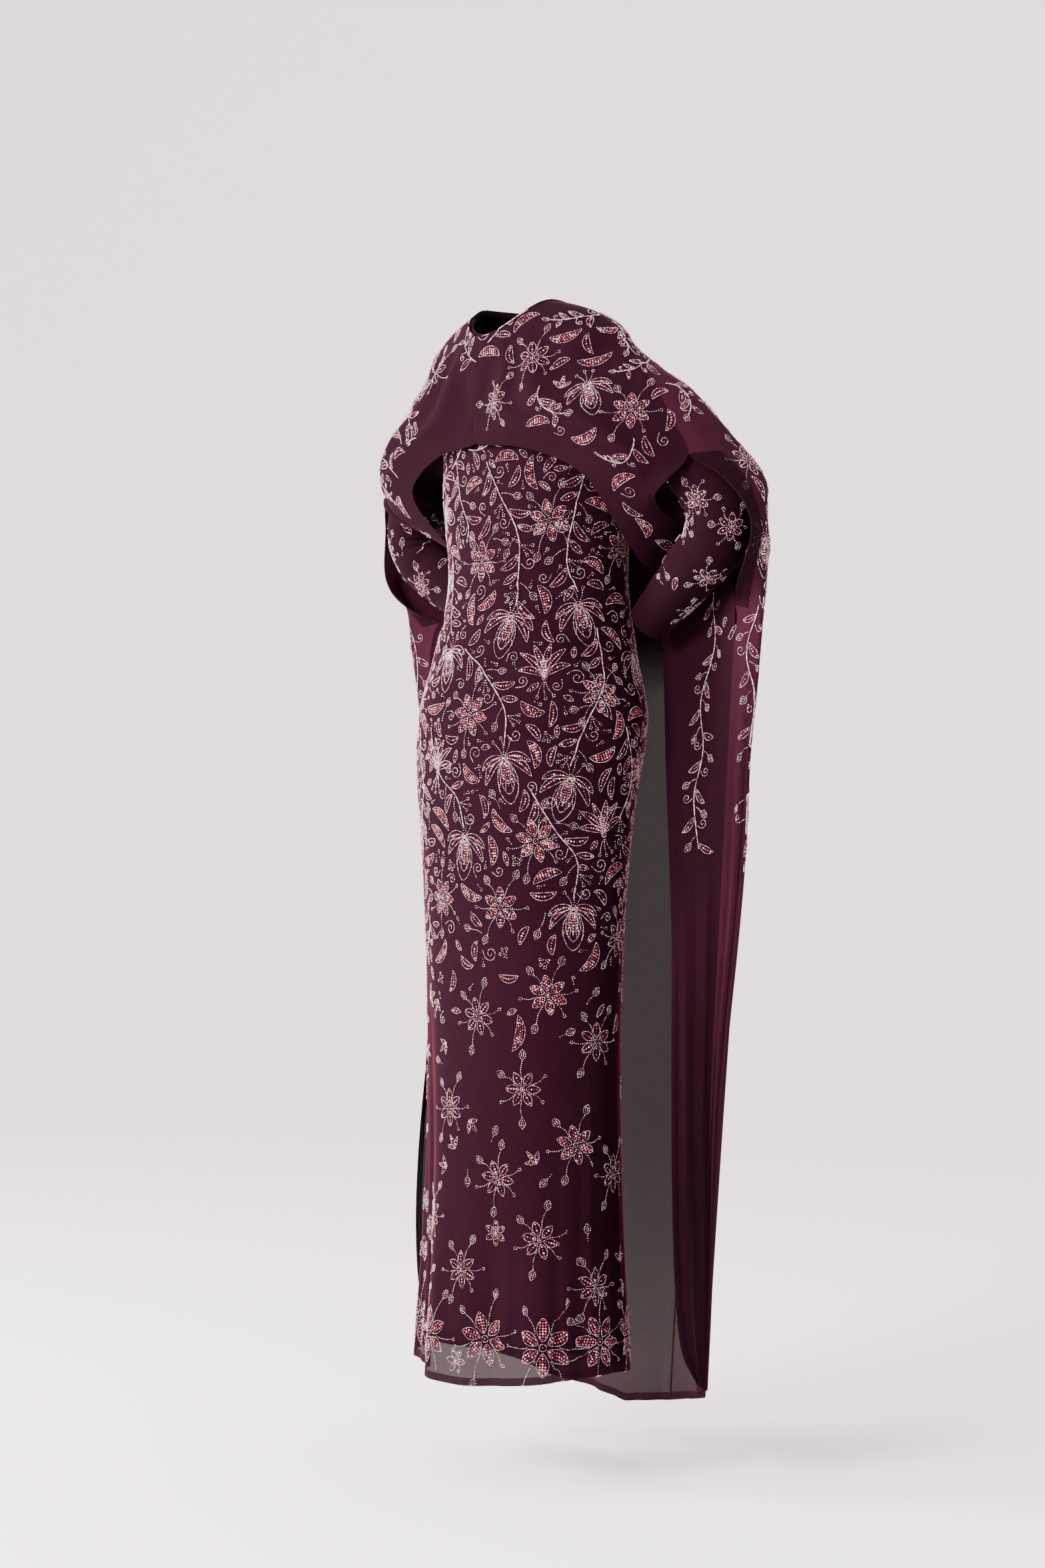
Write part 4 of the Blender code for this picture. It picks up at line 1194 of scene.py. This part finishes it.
def beadPiece(name, rows, kind, tree, material):
    spots, ahead, facing, length, width, tint = (rows[:, :3], rows[:, 3:6], rows[:, 6:9], rows[:, 9], rows[:, 10],
                                                 rows[:, 11])
    if kind == "bead":
        z = unit(ahead)
        x = unit(np.cross(facing, z))
        y = np.cross(z, x)
        size = np.stack((width, width, length), axis=-1) * 0.5
        segments, rings = 4, 2
    else:
        z = unit(facing)
        y = unit(np.cross(z, ahead))
        x = np.cross(y, z)
        size = np.stack((length, width, np.full(len(rows), 0.0006)), axis=-1) * 0.5
        segments, rings = 5, 2
    mesh = bpy.data.meshes.new(name + "_points")
    mesh.from_pydata(spots.tolist(), [], [])
    for label, values, sort in (("turn", eulerFrom(x, y, z), "FLOAT_VECTOR"), ("size", size, "FLOAT_VECTOR"),
                                ("tint", tint, "FLOAT")):
        layer = mesh.attributes.new(label, sort, "POINT")
        layer.data.foreach_set("vector" if sort == "FLOAT_VECTOR" else "value",
                               np.ascontiguousarray(values, dtype=np.float32).reshape(-1))
    piece = bpy.data.objects.new(name, mesh)
    bpy.context.scene.collection.objects.link(piece)
    modifier = piece.modifiers.new("beads", "NODES")
    modifier.node_group = tree
    inputs = {item.name: item.identifier for item in tree.interface.items_tree if item.in_out == "INPUT"}
    modifier[inputs["Segments"]] = segments
    modifier[inputs["Rings"]] = rings
    modifier[inputs["Material"]] = material
    graph = bpy.context.evaluated_depsgraph_get()
    final = bpy.data.meshes.new_from_object(piece.evaluated_get(graph))
    piece.modifiers.clear()
    piece.data = final
    final.name = name
    if not final.materials:
        final.materials.append(material)
    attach(piece, "root")
    return piece


# Materials

def fabricMaterial(name, look):
    # crepe-like woven cloth: grain, sheen, and an alpha that opens where the cloth is one layer
    material, tree, shader = newMaterial(name)
    where = addNode(tree, "ShaderNodeTexCoord")
    grain = addNode(tree, "ShaderNodeTexNoise", values={"Scale": look["grain"], "Detail": 2.0, "Roughness": 0.7},
                    links={"Vector": (where, "Object")})
    patch = addNode(tree, "ShaderNodeTexNoise", values={"Scale": 7.0, "Detail": 2.0}, links={"Vector": (where, "Object")})
    both = addNode(tree, "ShaderNodeMath", {"operation": "MULTIPLY_ADD"}, {1: 0.35},
                   {0: (patch, "Fac"), 2: (grain, "Fac")})
    colour = addNode(tree, "ShaderNodeValToRGB", links={"Fac": (both, "Value")})
    colour.color_ramp.elements[0].position, colour.color_ramp.elements[1].position = 0.45, 0.95
    colour.color_ramp.elements[0].color, colour.color_ramp.elements[1].color = srgb(look["dark"]), srgb(look["light"])
    tree.links.new(colour.outputs["Color"], shader.inputs["Base Color"])
    bump = addNode(tree, "ShaderNodeBump", values={"Strength": look["bump"], "Distance": 0.0004},
                   links={"Height": (grain, "Fac")})
    tree.links.new(bump.outputs["Normal"], shader.inputs["Normal"])
    shader.inputs["Roughness"].default_value = look["roughness"]
    shader.inputs["Sheen Weight"].default_value = look["sheen"]
    shader.inputs["Sheen Roughness"].default_value = look["sheenRoughness"]
    shader.inputs["Sheen Tint"].default_value = srgb(look["sheenTint"])
    shader.inputs["Specular IOR Level"].default_value = look["specular"]
    if look["alpha"] < 1.0:
        if look["opaqueAbove"] is None:
            edge = addNode(tree, "ShaderNodeAttribute", {"attribute_name": "hemDistance"})
            opened = addNode(tree, "ShaderNodeMapRange", values={"From Min": look["band"], "From Max": look["band"] + 0.0008,
                                                                 "To Min": look["bandAlpha"], "To Max": look["alpha"]},
                             links={"Value": (edge, "Fac")})
            shade = (opened, "Result")
        else:
            split = addNode(tree, "ShaderNodeSeparateXYZ", links={"Vector": (where, "Object")})
            edge = addNode(tree, "ShaderNodeAttribute", {"attribute_name": "hemDistance"})
            low, high = look["opaqueAbove"]
            height = addNode(tree, "ShaderNodeMapRange", values={"From Min": low, "From Max": high,
                                                                 "To Min": look["alpha"], "To Max": 1.0},
                             links={"Value": (split, "Z")})
            opened = addNode(tree, "ShaderNodeMapRange", values={"From Min": look["band"], "From Max": look["band"] + 0.0008,
                                                                 "To Min": look["bandAlpha"], "To Max": 0.0},
                             links={"Value": (edge, "Fac")})
            shade = (addNode(tree, "ShaderNodeMath", {"operation": "MAXIMUM"},
                             links={0: (height, "Result"), 1: (opened, "Result")}), "Value")
        tree.links.new(shade[0].outputs[shade[1]], shader.inputs["Alpha"])
    return material


def glintMaterial(name, look):
    # metal-lined glass beads or lacquered film sequins, each with its own tint
    material, tree, shader = newMaterial(name)
    tint = addNode(tree, "ShaderNodeAttribute", {"attribute_name": "tint"})
    colour = addNode(tree, "ShaderNodeValToRGB", links={"Fac": (tint, "Fac")})
    points = colour.color_ramp
    points.interpolation = "CONSTANT" if look["steps"] else "LINEAR"
    while len(points.elements) < len(look["colours"]):
        points.elements.new(0.5)
    for element, (place, code) in zip(points.elements, look["colours"]):
        element.position = place
        element.color = srgb(code)
    tree.links.new(colour.outputs["Color"], shader.inputs["Base Color"])
    shader.inputs["Metallic"].default_value = look["metallic"]
    shader.inputs["Roughness"].default_value = look["roughness"]
    return material


fabricLooks = {
    "dress": {"grain": 850.0, "dark": "#0d0006", "light": "#18020d", "bump": 0.35, "roughness": 0.92, "sheen": 0.34,
              "sheenRoughness": 0.24, "sheenTint": "#c8486e", "specular": 0.04, "alpha": 0.80,
              "opaqueAbove": (-1.345, -1.325), "band": 0.010, "bandAlpha": 0.92},
    "lining": {"grain": 500.0, "dark": "#0d0006", "light": "#18020d", "bump": 0.15, "roughness": 0.55, "sheen": 0.06,
               "sheenRoughness": 0.24, "sheenTint": "#c8486e", "specular": 0.10, "alpha": 1.0, "opaqueAbove": None,
               "band": 0.010, "bandAlpha": 1.0},
    "sleeve": {"grain": 850.0, "dark": "#0b0005", "light": "#16020c", "bump": 0.35, "roughness": 0.92, "sheen": 0.08,
               "sheenRoughness": 0.24, "sheenTint": "#c8486e", "specular": 0.04, "alpha": 1.0, "opaqueAbove": None,
               "band": 0.010, "bandAlpha": 1.0},
    "capeFront": {"grain": 850.0, "dark": "#0d0006", "light": "#18020d", "bump": 0.35, "roughness": 0.92, "sheen": 0.07,
                  "sheenRoughness": 0.24, "sheenTint": "#c8486e", "specular": 0.04, "alpha": 0.86,
                  "opaqueAbove": (-0.560, -0.440), "band": 0.010, "bandAlpha": 0.94},
    # the back piece is the same chiffon as the front piece but gets lighter colours: painted light, standing for the
    # light that shines through its single sheer layer
    "capeBack": {"grain": 850.0, "dark": "#17040d", "light": "#2b0c1a", "bump": 0.35, "roughness": 0.92, "sheen": 0.07,
                 "sheenRoughness": 0.24, "sheenTint": "#c8486e", "specular": 0.04, "alpha": 0.86,
                 "opaqueAbove": (-0.520, -0.430), "band": 0.010, "bandAlpha": 0.95},
    "binding": {"grain": 850.0, "dark": "#0b0005", "light": "#16020c", "bump": 0.25, "roughness": 0.92, "sheen": 0.06,
                "sheenRoughness": 0.24, "sheenTint": "#c8486e", "specular": 0.04, "alpha": 1.0, "opaqueAbove": None,
                "band": 0.010, "bandAlpha": 1.0},
}
glintLooks = {
    "beads": {"metallic": 0.60, "roughness": 0.26, "steps": False,
              "colours": ((0.0, "#5c3c4a"), (0.40, "#967884"), (1.0, "#dccace"))},
    "sequins": {"metallic": 0.80, "roughness": 0.24, "steps": True,
                "colours": ((0.0, "#c26b78"), (0.34, "#8c3446"), (0.62, "#d8b2b5"), (0.78, "#4a1828"))},
}
fabric = {name: fabricMaterial("plum_" + name, look) for name, look in fabricLooks.items()}
glint = {name: glintMaterial(name, look) for name, look in glintLooks.items()}
print("materials made")


# Pieces of cloth

def declareSheet(piece, node, slot, width, length, held):
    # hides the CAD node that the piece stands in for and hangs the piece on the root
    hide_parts(node)
    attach(piece, "root")


def spread(grid, closed=False):
    # widest row and longest column of a grid, in metres
    across = np.diff(np.concatenate((grid, grid[:, :1]), axis=1) if closed else grid, axis=1)
    return (float(np.linalg.norm(across, axis=2).sum(axis=1).max()),
            float(np.linalg.norm(np.diff(grid, axis=0), axis=2).sum(axis=0).max()))


frontPanel, frontGrid = dressSheet("front_panel", (-math.pi, 0.0), -0.00002, fabric["dress"])
backPanel, backGrid = dressSheet("back_panel", (0.0, math.pi), 0.00002, fabric["dress"])
declareSheet(frontPanel, "dress_front", "plum_chiffon", *spread(frontGrid), "hung")
declareSheet(backPanel, "dress_back", "plum_chiffon", *spread(backGrid), "hung")
lining, liningGrid = liningTube(fabric["lining"])
declareSheet(lining, "lining", "plum_lining", *spread(liningGrid, True), "hung")
sleeves = {}
for side, mirror in (("left", False), ("right", True)):
    piece, grid, normals, distance = sleevePiece("sleeve_tube_" + side, mirror, fabric["sleeve"])
    declareSheet(piece, "sleeve_" + side, "plum_chiffon", *spread(grid, True), "draped")
    sleeves[side] = (grid, normals, distance, True)
print("dress, lining and sleeves made")

sheets = capeSheets()
step = capeLook["rowSteps"]
frontHalf, frontNormals = sheets["front"]
backHalf, backNormals = sheets["back"]
slitRows = slice(capeShape["slitTopRow"] * step, capeShape["slitEndRow"] * step + 1)
frontDistance = edgeDistance(frontHalf, [frontHalf[capeShape["arcRow"] * step:, 0], frontHalf[-1], frontHalf[slitRows, -1]])
backDistance = edgeDistance(backHalf, [backHalf[-1], backHalf[slitRows, 0]])
for name, node, grid, normals, column, lastShared, distance in (
        ("cape_front_piece", "cape_front", frontHalf, frontNormals, 0, capeShape["arcRow"] * step, frontDistance),
        ("cape_back_piece", "cape_back", backHalf, backNormals, -1, len(backHalf) - 1, backDistance)):
    width, length = spread(grid)
    uv = np.stack(np.broadcast_arrays(np.linspace(0, width, grid.shape[1])[None, :],
                                      np.linspace(0, length, grid.shape[0])[:, None]), axis=-1)
    piece = mirroredPiece(name, grid, normals, column, lastShared, clothWall["chiffon"], fabric[name[:-6].replace("_f", "F").replace("_b", "B")], distance, uv)
    declareSheet(piece, node, "plum_chiffon", 2 * width, length, "draped")
facingColumns = facingLook["columns"]
for side, mirror in (("left", False), ("right", True)):
    for part, columns in (("front", slice(-facingColumns, None)), ("back", slice(0, facingColumns))):
        piece, grid = slitFacing(f"slit_band_{part}_{side}", sheets[part], columns, mirror, fabric["binding"])
        declareSheet(piece, f"slit_facing_{part}_{side}", "plum_binding", *spread(grid), "laid")
binding = neckBinding(fabric["binding"])
bindingRound = 2 * math.pi * bindingLook["radius"]
declareSheet(binding, "neck_binding", "plum_binding", bindingLook["below"] + bindingLook["above"] + bindingLook["wall"],
             bindingRound, "folded")
print("cape, facings and binding made")


# Embroidery of each part

def dressTube():
    # the whole dress as one closed grid, so that motifs cross the side seams
    stations = np.concatenate((np.linspace(2.0, 6.0, 22, endpoint=False), np.linspace(6.0, 16.0, 150)))
    angles = np.linspace(-math.pi, math.pi, 120, endpoint=False)
    grid = np.array([dressRing(s, angles) for s in stations])
    normals = np.array([dressNormals(s, angles) for s in stations])
    grid = grid + normals * dressRelief(grid, np.broadcast_to(angles, grid.shape[:2]))[..., None]
    distance = edgeDistance(grid, [grid[-1]])
    for row, station in enumerate(stations):
        inset = dressShape["armholeHalfAngle"] * math.sin(armholeTurn(station)) + 0.10
        if station < dressShape["underarmStation"]:
            closeToHole = (np.abs(angles) < inset) | (np.abs(angles) > math.pi - inset)
            distance[row, closeToHole] = 0.0
    return grid, normals, distance, True


def mirrorGrid(grid, normals, distance, closed):
    flip = np.array((-1.0, 1.0, 1.0))
    return grid * flip, normals * flip, distance, closed


def onDress(angle, z):
    # a point outside the dress at an angle in degrees and a height in metres
    turn = math.radians(angle)
    return np.array((0.16 * math.cos(turn), 0.01 + 0.12 * math.sin(turn), z))


dressCloth = Surface([dressTube()])
dressWork = Embroidery("dress", dressCloth, lambda p, edge: (p[:, 2] < -0.150) & (edge > 0.014), 52000)
dressTable = {
    # angle, height, motif, turn: the large motifs are placed one by one, the rest fills in by chance
    "motifs": (
        (-40, -0.300, "flower", 10, 56), (-86, -0.345, "flower", 0, 54), (-62, -0.415, "bloom", -12, 62),
        (-18, -0.400, "bloom", 14, 60), (-104, -0.455, "bloom", 8, 60), (-40, -0.500, "crown", 6, 62),
        (-80, -0.545, "flower", 20, 58), (-8, -0.520, "flower", -8, 54), (-60, -0.600, "bloom", 10, 64),
        (-26, -0.625, "bloom", -16, 62), (-104, -0.620, "crown", -10, 60), (-44, -0.705, "flower", 15, 56),
        (-84, -0.700, "bloom", -8, 62), (-6, -0.700, "crown", 12, 60), (-64, -0.790, "flower", 0, 54),
        (-24, -0.790, "bloom", 0, 58), (-104, -0.780, "flower", 25, 52), (22, -0.330, "flower", 5, 54),
        (30, -0.470, "bloom", -10, 60), (22, -0.610, "flower", 12, 56), (34, -0.730, "bloom", 8, 60),
        (12, -0.830, "flower", -12, 50), (-134, -0.360, "bloom", 10, 58), (-134, -0.520, "flower", 0, 56),
        (-130, -0.680, "bloom", -12, 60), (-150, -0.790, "flower", 10, 54),
        (-38, -0.900, "flower", 8, 52), (-78, -0.930, "flower", 16, 50), (-8, -0.960, "flower", 0, 50),
        (-52, -1.020, "flower", 30, 48), (-98, -1.050, "flower", 5, 50), (-22, -1.090, "flower", 12, 52),
        (-66, -1.135, "flower", 22, 48), (10, -1.130, "flower", 0, 50), (-112, -1.190, "flower", 0, 48),
        (-42, -1.210, "flower", 18, 50), (-86, -1.255, "flower", 6, 48), (-10, -1.270, "flower", 0, 50),
        (60, -1.00, "flower", 0, 50), (90, -1.20, "flower", 14, 50), (-150, -1.02, "flower", 4, 50),
        (130, -1.06, "flower", 9, 50), (150, -1.28, "flower", 0, 50),
        (-40, -1.345, "flower", 0, 76), (-72, -1.340, "flower", 15, 70), (-106, -1.345, "flower", 0, 74),
        (-8, -1.340, "flower", 25, 72), (28, -1.340, "flower", 5, 74), (-142, -1.340, "flower", 20, 70),
        (70, -1.340, "flower", 0, 72), (112, -1.340, "flower", 12, 72), (152, -1.340, "flower", 0, 70),
    ),
    # stems: points of angle and height, and what grows on them
    "stems": (
        ((-112, -0.215), (-106, -0.262), (-98, -0.300), (-100, -0.320)),
        ((-84, -0.215), (-72, -0.265), (-60, -0.320), (-60, -0.395)),
        ((-14, -0.225), (-22, -0.285), (-26, -0.345), (-18, -0.385)),
        ((-120, -0.330), (-114, -0.390), (-104, -0.440)), ((-90, -0.455), (-74, -0.490), (-60, -0.540), (-60, -0.585)),
        ((-4, -0.430), (-4, -0.500), (-18, -0.560), (-26, -0.610)),
        ((-110, -0.560), (-102, -0.620), (-88, -0.650), (-84, -0.690)),
        ((-46, -0.640), (-34, -0.690), (-22, -0.730), (-24, -0.780)),
        ((-126, -0.560), (-120, -0.640), (-128, -0.700)), ((6, -0.560), (14, -0.630), (4, -0.680)),
        ((40, -0.300), (44, -0.400), (36, -0.500)), ((40, -0.540), (46, -0.620), (38, -0.700)),
    ),
}
makers = {"flower": flower, "bloom": bloom, "crown": crown}


def stemOn(work, points, items, allowed=None):
    # braided stem along points on the cloth, with motifs at its sides
    kept = work.allowed
    work.allowed = allowed or kept
    path = smoothPath([tuple(p) for p in points], 8)
    places, normals, edge = work.surface.find(path)
    places = dense(places, 0.004)
    places, normals, edge = work.surface.find(places)
    good = edge > 0.010
    places, normals = places[good], normals[good]
    work.taken.update(work.keys(work.cells(places)).tolist())
    work.sew("rope", places, normals)
    side = 1
    for k, index in enumerate(range(3, len(places) - 2, 3)):
        here, ahead = places[index], places[index + 1] - places[index - 1]
        _, _, right, up = work.frameAt(here, 0.0, False)
        heading = math.degrees(math.atan2(float(ahead @ up), float(ahead @ right))) - 90.0
        part = moved(items[k % len(items)](side), y=3.4)
        lean = heading - 50.0 * side
        if work.fits(moved(part, y=6.5), here, lean, False):
            work.put(part, here, lean)
        side = -side
    work.allowed = kept


stemItems = (
    lambda side: leaf(34.0, 10.0, 66.0 * side),
    lambda side: moved(spiral(8.5, 1.4, 8.0), flip=side < 0),
    lambda side: leaf(24.0, 8.5, 16.0 * side),
    lambda side: ray(0.0, 20.0, 3.0 * side, "drop"),
    lambda side: sprig(16.0),
)
for points in dressTable["stems"]:
    stemOn(dressWork, [onDress(*point) for point in points], stemItems)
for angle, z, kind, turn, size in dressTable["motifs"]:
    dressWork.put(makers[kind](float(size)), onDress(angle, z), float(turn))
fillers = (
    (lambda: scroll(float(chance.uniform(64, 104)), float(chance.uniform(50, 120))), 0.9),
    (lambda: flower(float(chance.uniform(40, 52)), heads=("loop", "drop")), 0.30),
    (lambda: bloom(float(chance.uniform(44, 56))), 0.35),
    (lambda: leaf(float(chance.uniform(38, 50)), 13.0, float(chance.uniform(60, 100))), 0.9),
    (lambda: leaf(float(chance.uniform(26, 38)), 10.0, float(chance.uniform(50, 95))), 1.1),
    (lambda: spiral(float(chance.uniform(7, 11)), 1.5, 9.0), 0.9),
    (lambda: trefoil(float(chance.uniform(20, 28))), 0.9),
    (lambda: ray(0.0, float(chance.uniform(14, 26)), 3.0, "drop"), 1.4),
    (lambda: leaf(float(chance.uniform(14, 22)), 7.0, float(chance.uniform(0, 40))), 1.6),
    (lambda: sprig(12.0), 1.4),
    (lambda: ray(0.0, 8.0, 1.0, "loop"), 2.2),
)


def denseFront(p):
    # the dense field ends in a wavy line at the thighs
    turn = np.arctan2(p[:, 1], p[:, 0])
    return (p[:, 1] < 0.035) & (p[:, 2] > -0.795 + 0.045 * np.sin(7.0 * turn) + 0.03 * np.sin(17.0 * turn))


dressWork.fill(fillers, 4200, share=0.84, where=denseFront)
dressWork.fill(fillers, 1200, share=0.95, where=lambda p: (p[:, 2] > -0.86) & (p[:, 2] < -0.40) & (p[:, 1] >= 0.035))
dressWork.fill(fillers[3:], 60, share=0.97, where=lambda p: (p[:, 2] > -0.93) & (p[:, 2] < -0.74))
dressWork.fill(((lambda: flower(34.0, rays=False), 0.12), (lambda: trefoil(20.0), 0.10), (lambda: ray(0.0, 10.0, 1.0, "drop"), 0.12)),
               500, share=1.0, where=lambda p: p[:, 2] < -0.90)
print("dress embroidery laid", dressWork.count)

sleeveWork = Embroidery("sleeves", Surface([sleeves["left"], sleeves["right"]]),
                        lambda p, edge: (edge > 0.012) & (np.abs(p[:, 0]) > 0.19), 6500)
sleeveWork.fill(((lambda: flower(38.0, heads=("loop", "drop"), reach=0.9), 0.5),
                 (lambda: leaf(22.0, 8.0, 40.0), 0.3), (lambda: ray(0.0, 12.0, 2.0, "drop"), 0.4)), 260)
print("sleeve embroidery laid", sleeveWork.count)

capeHalves = ((frontHalf, frontNormals, frontDistance, False), (backHalf, backNormals, backDistance, False))
capeCloth = Surface([part for half in capeHalves for part in (half, mirrorGrid(*half))])


def capeAllowed(p, edge):
    # plain over the chest, along the free edges and below the elbows
    bib = (np.abs(p[:, 0]) < 0.105) & (p[:, 2] < -0.100) & (p[:, 1] < 0.0)
    lowest = -0.415 - 0.045 * np.sin(24.0 * p[:, 0] + 0.8)
    return (edge > 0.026) & (p[:, 2] > lowest) & (p[:, 2] < -0.022) & ~bib


def awayFromEdge(p, edge):
    return edge > 0.010


capeWork = Embroidery("cape", capeCloth, capeAllowed, 23500)
capeTable = {
    # place on the wearer's left, motif, turn, size: each stands on both sides
    "motifs": (
        ((0.105, -0.075, -0.085), "flower", 10, 50), ((0.185, -0.055, -0.125), "bloom", 20, 56),
        ((0.245, -0.030, -0.165), "flower", 0, 52), ((0.330, 0.085, -0.235), "flower", 0, 50),
        ((0.350, 0.080, -0.330), "bloom", 10, 54), ((0.250, 0.140, -0.330), "flower", 15, 54),
        ((0.130, 0.120, -0.150), "flower", 0, 56), ((0.200, 0.045, -0.080), "bloom", 70, 54),
    ),
    "vines": (
        ((0.215, 0.112, -0.385), (0.238, 0.108, -0.450), (0.222, 0.100, -0.520), (0.246, 0.090, -0.590),
         (0.240, 0.085, -0.650), (0.258, 0.075, -0.715)),
        ((0.352, 0.088, -0.410), (0.330, 0.095, -0.470), (0.342, 0.090, -0.540), (0.316, 0.100, -0.610),
         (0.322, 0.096, -0.670), (0.304, 0.104, -0.735)),
    ),
}
vineItems = (lambda side: leaf(26.0, 8.5, 50.0 * side), lambda side: moved(spiral(7.0, 1.4, 7.0), flip=side < 0),
             lambda side: ray(0.0, 12.0, 2.0 * side, "drop"))
for x in (-1.0, 1.0):
    beside = np.array((x, 1.0, 1.0))
    for place, kind, turn, size in capeTable["motifs"]:
        capeWork.put(makers[kind](float(size)), np.array(place) * beside, turn * x)
    for points in capeTable["vines"]:
        stemOn(capeWork, [np.array(point) * beside for point in points], vineItems, awayFromEdge)
capeWork.put(flower(48.0, heads=("loop", "drop")), np.array((0.052, -0.085, -0.145)), 0.0)
capeWork.put(bloom(64.0), np.array((0.0, 0.14, -0.26)), 0.0)
capeWork.fill(fillers, 1000, share=0.55, where=lambda p: p[:, 1] < 0.05)
capeWork.fill(fillers, 900)
print("cape embroidery laid", capeWork.count)

tree = beadTree()
for work in (dressWork, sleeveWork, capeWork):
    for kind, limit in (("bead", 18000), ("sequin", 15000)):
        if not work.rows[kind]:
            continue
        rows = np.vstack(work.rows[kind])
        rows = rows[np.argsort(-rows[:, 2], kind="stable")]
        parts = math.ceil(len(rows) / limit)
        for number, part in enumerate(np.array_split(rows, parts), start=1):
            beadPiece(f"{work.name}_{kind}s_{number}", part, kind, tree, glint[kind + "s"])
        print(work.name, kind, len(rows))


# Stage, lights and camera

def stageBowl():
    # floor that curves up all round, open at the top
    profile = [(0.0, 0.0), (2.0, 0.0), (4.4, 0.0)]
    profile += [(4.4 + 3.6 * math.sin(t), 3.6 * (1.0 - math.cos(t))) for t in np.linspace(0.0, 0.5 * math.pi, 10)[1:]]
    profile += [(8.0, 6.5)]
    points, faces, count = [], [], 64
    for r, h in profile[1:]:
        points += [(r * math.cos(a), r * math.sin(a), stageLook["floor"] + h)
                   for a in np.linspace(0.0, 2.0 * math.pi, count, endpoint=False)]
    points.append((0.0, 0.0, stageLook["floor"]))
    for ring in range(len(profile) - 2):
        for k in range(count):
            a, b = ring * count + k, ring * count + (k + 1) % count
            faces.append((a, b, b + count, a + count))
    faces += [(len(points) - 1, k, (k + 1) % count) for k in range(count)]
    mesh = bpy.data.meshes.new("stage_bowl")
    mesh.from_pydata(points, [], [face[::-1] if len(face) == 4 else face for face in faces])
    work = bmesh.new()
    work.from_mesh(mesh)
    bmesh.ops.recalc_face_normals(work, faces=work.faces)
    if work.faces[-1].normal.z < 0:
        bmesh.ops.reverse_faces(work, faces=work.faces)
    work.to_mesh(mesh)
    work.free()
    mesh.shade_smooth()
    material, _, shader = newMaterial("studio_paper")
    shader.inputs["Base Color"].default_value = srgb(stageLook["paper"])
    shader.inputs["Roughness"].default_value = 0.95
    mesh.materials.append(material)
    bowl = bpy.data.objects.new("stage_bowl", mesh)
    bpy.context.scene.collection.objects.link(bowl)


def areaLight(name, place, target, size, power, colour):
    data = bpy.data.lights.new(name, "AREA")
    data.shape = "DISK"
    data.size, data.energy, data.color = size, power, srgb(colour)[:3]
    light = bpy.data.objects.new(name, data)
    light.location = place
    light.rotation_euler = (Vector(target) - Vector(place)).to_track_quat("-Z", "Y").to_euler()
    light.visible_camera = False
    bpy.context.scene.collection.objects.link(light)


stageLook = {
    "floor": -1.53,
    "paper": "#dedad8",
    "world": "#f0ecea",
    "worldStrength": 3.6,
    "cameraTurn": math.radians(50.0),
    "cameraAway": 4.3,
    "cameraHeight": -0.633,
    "lens": 75.6,
}
stageBowl()
world = bpy.data.worlds.new("studio")
world.use_nodes = True
world.node_tree.nodes["Background"].inputs["Color"].default_value = srgb(stageLook["world"])
world.node_tree.nodes["Background"].inputs["Strength"].default_value = stageLook["worldStrength"]
bpy.context.scene.world = world
areaLight("key", (0.4, -4.2, 1.2), (0.0, 0.0, -0.6), 1.8, 760.0, "#fff6f2")
areaLight("left_fill", (-2.4, -2.6, 0.4), (0.0, 0.0, -0.8), 1.6, 520.0, "#fff4f2")
cameraData = bpy.data.cameras.new("camera")
cameraData.sensor_fit = "VERTICAL"
cameraData.sensor_height = 36.0
cameraData.lens = stageLook["lens"]
camera = bpy.data.objects.new("camera", cameraData)
turn = stageLook["cameraTurn"]
camera.location = (stageLook["cameraAway"] * math.sin(turn), -stageLook["cameraAway"] * math.cos(turn),
                   stageLook["cameraHeight"])
camera.rotation_euler = (math.radians(90.0), 0.0, turn)
bpy.context.scene.collection.objects.link(camera)
bpy.context.scene.camera = camera
print("stage, lights and camera set")
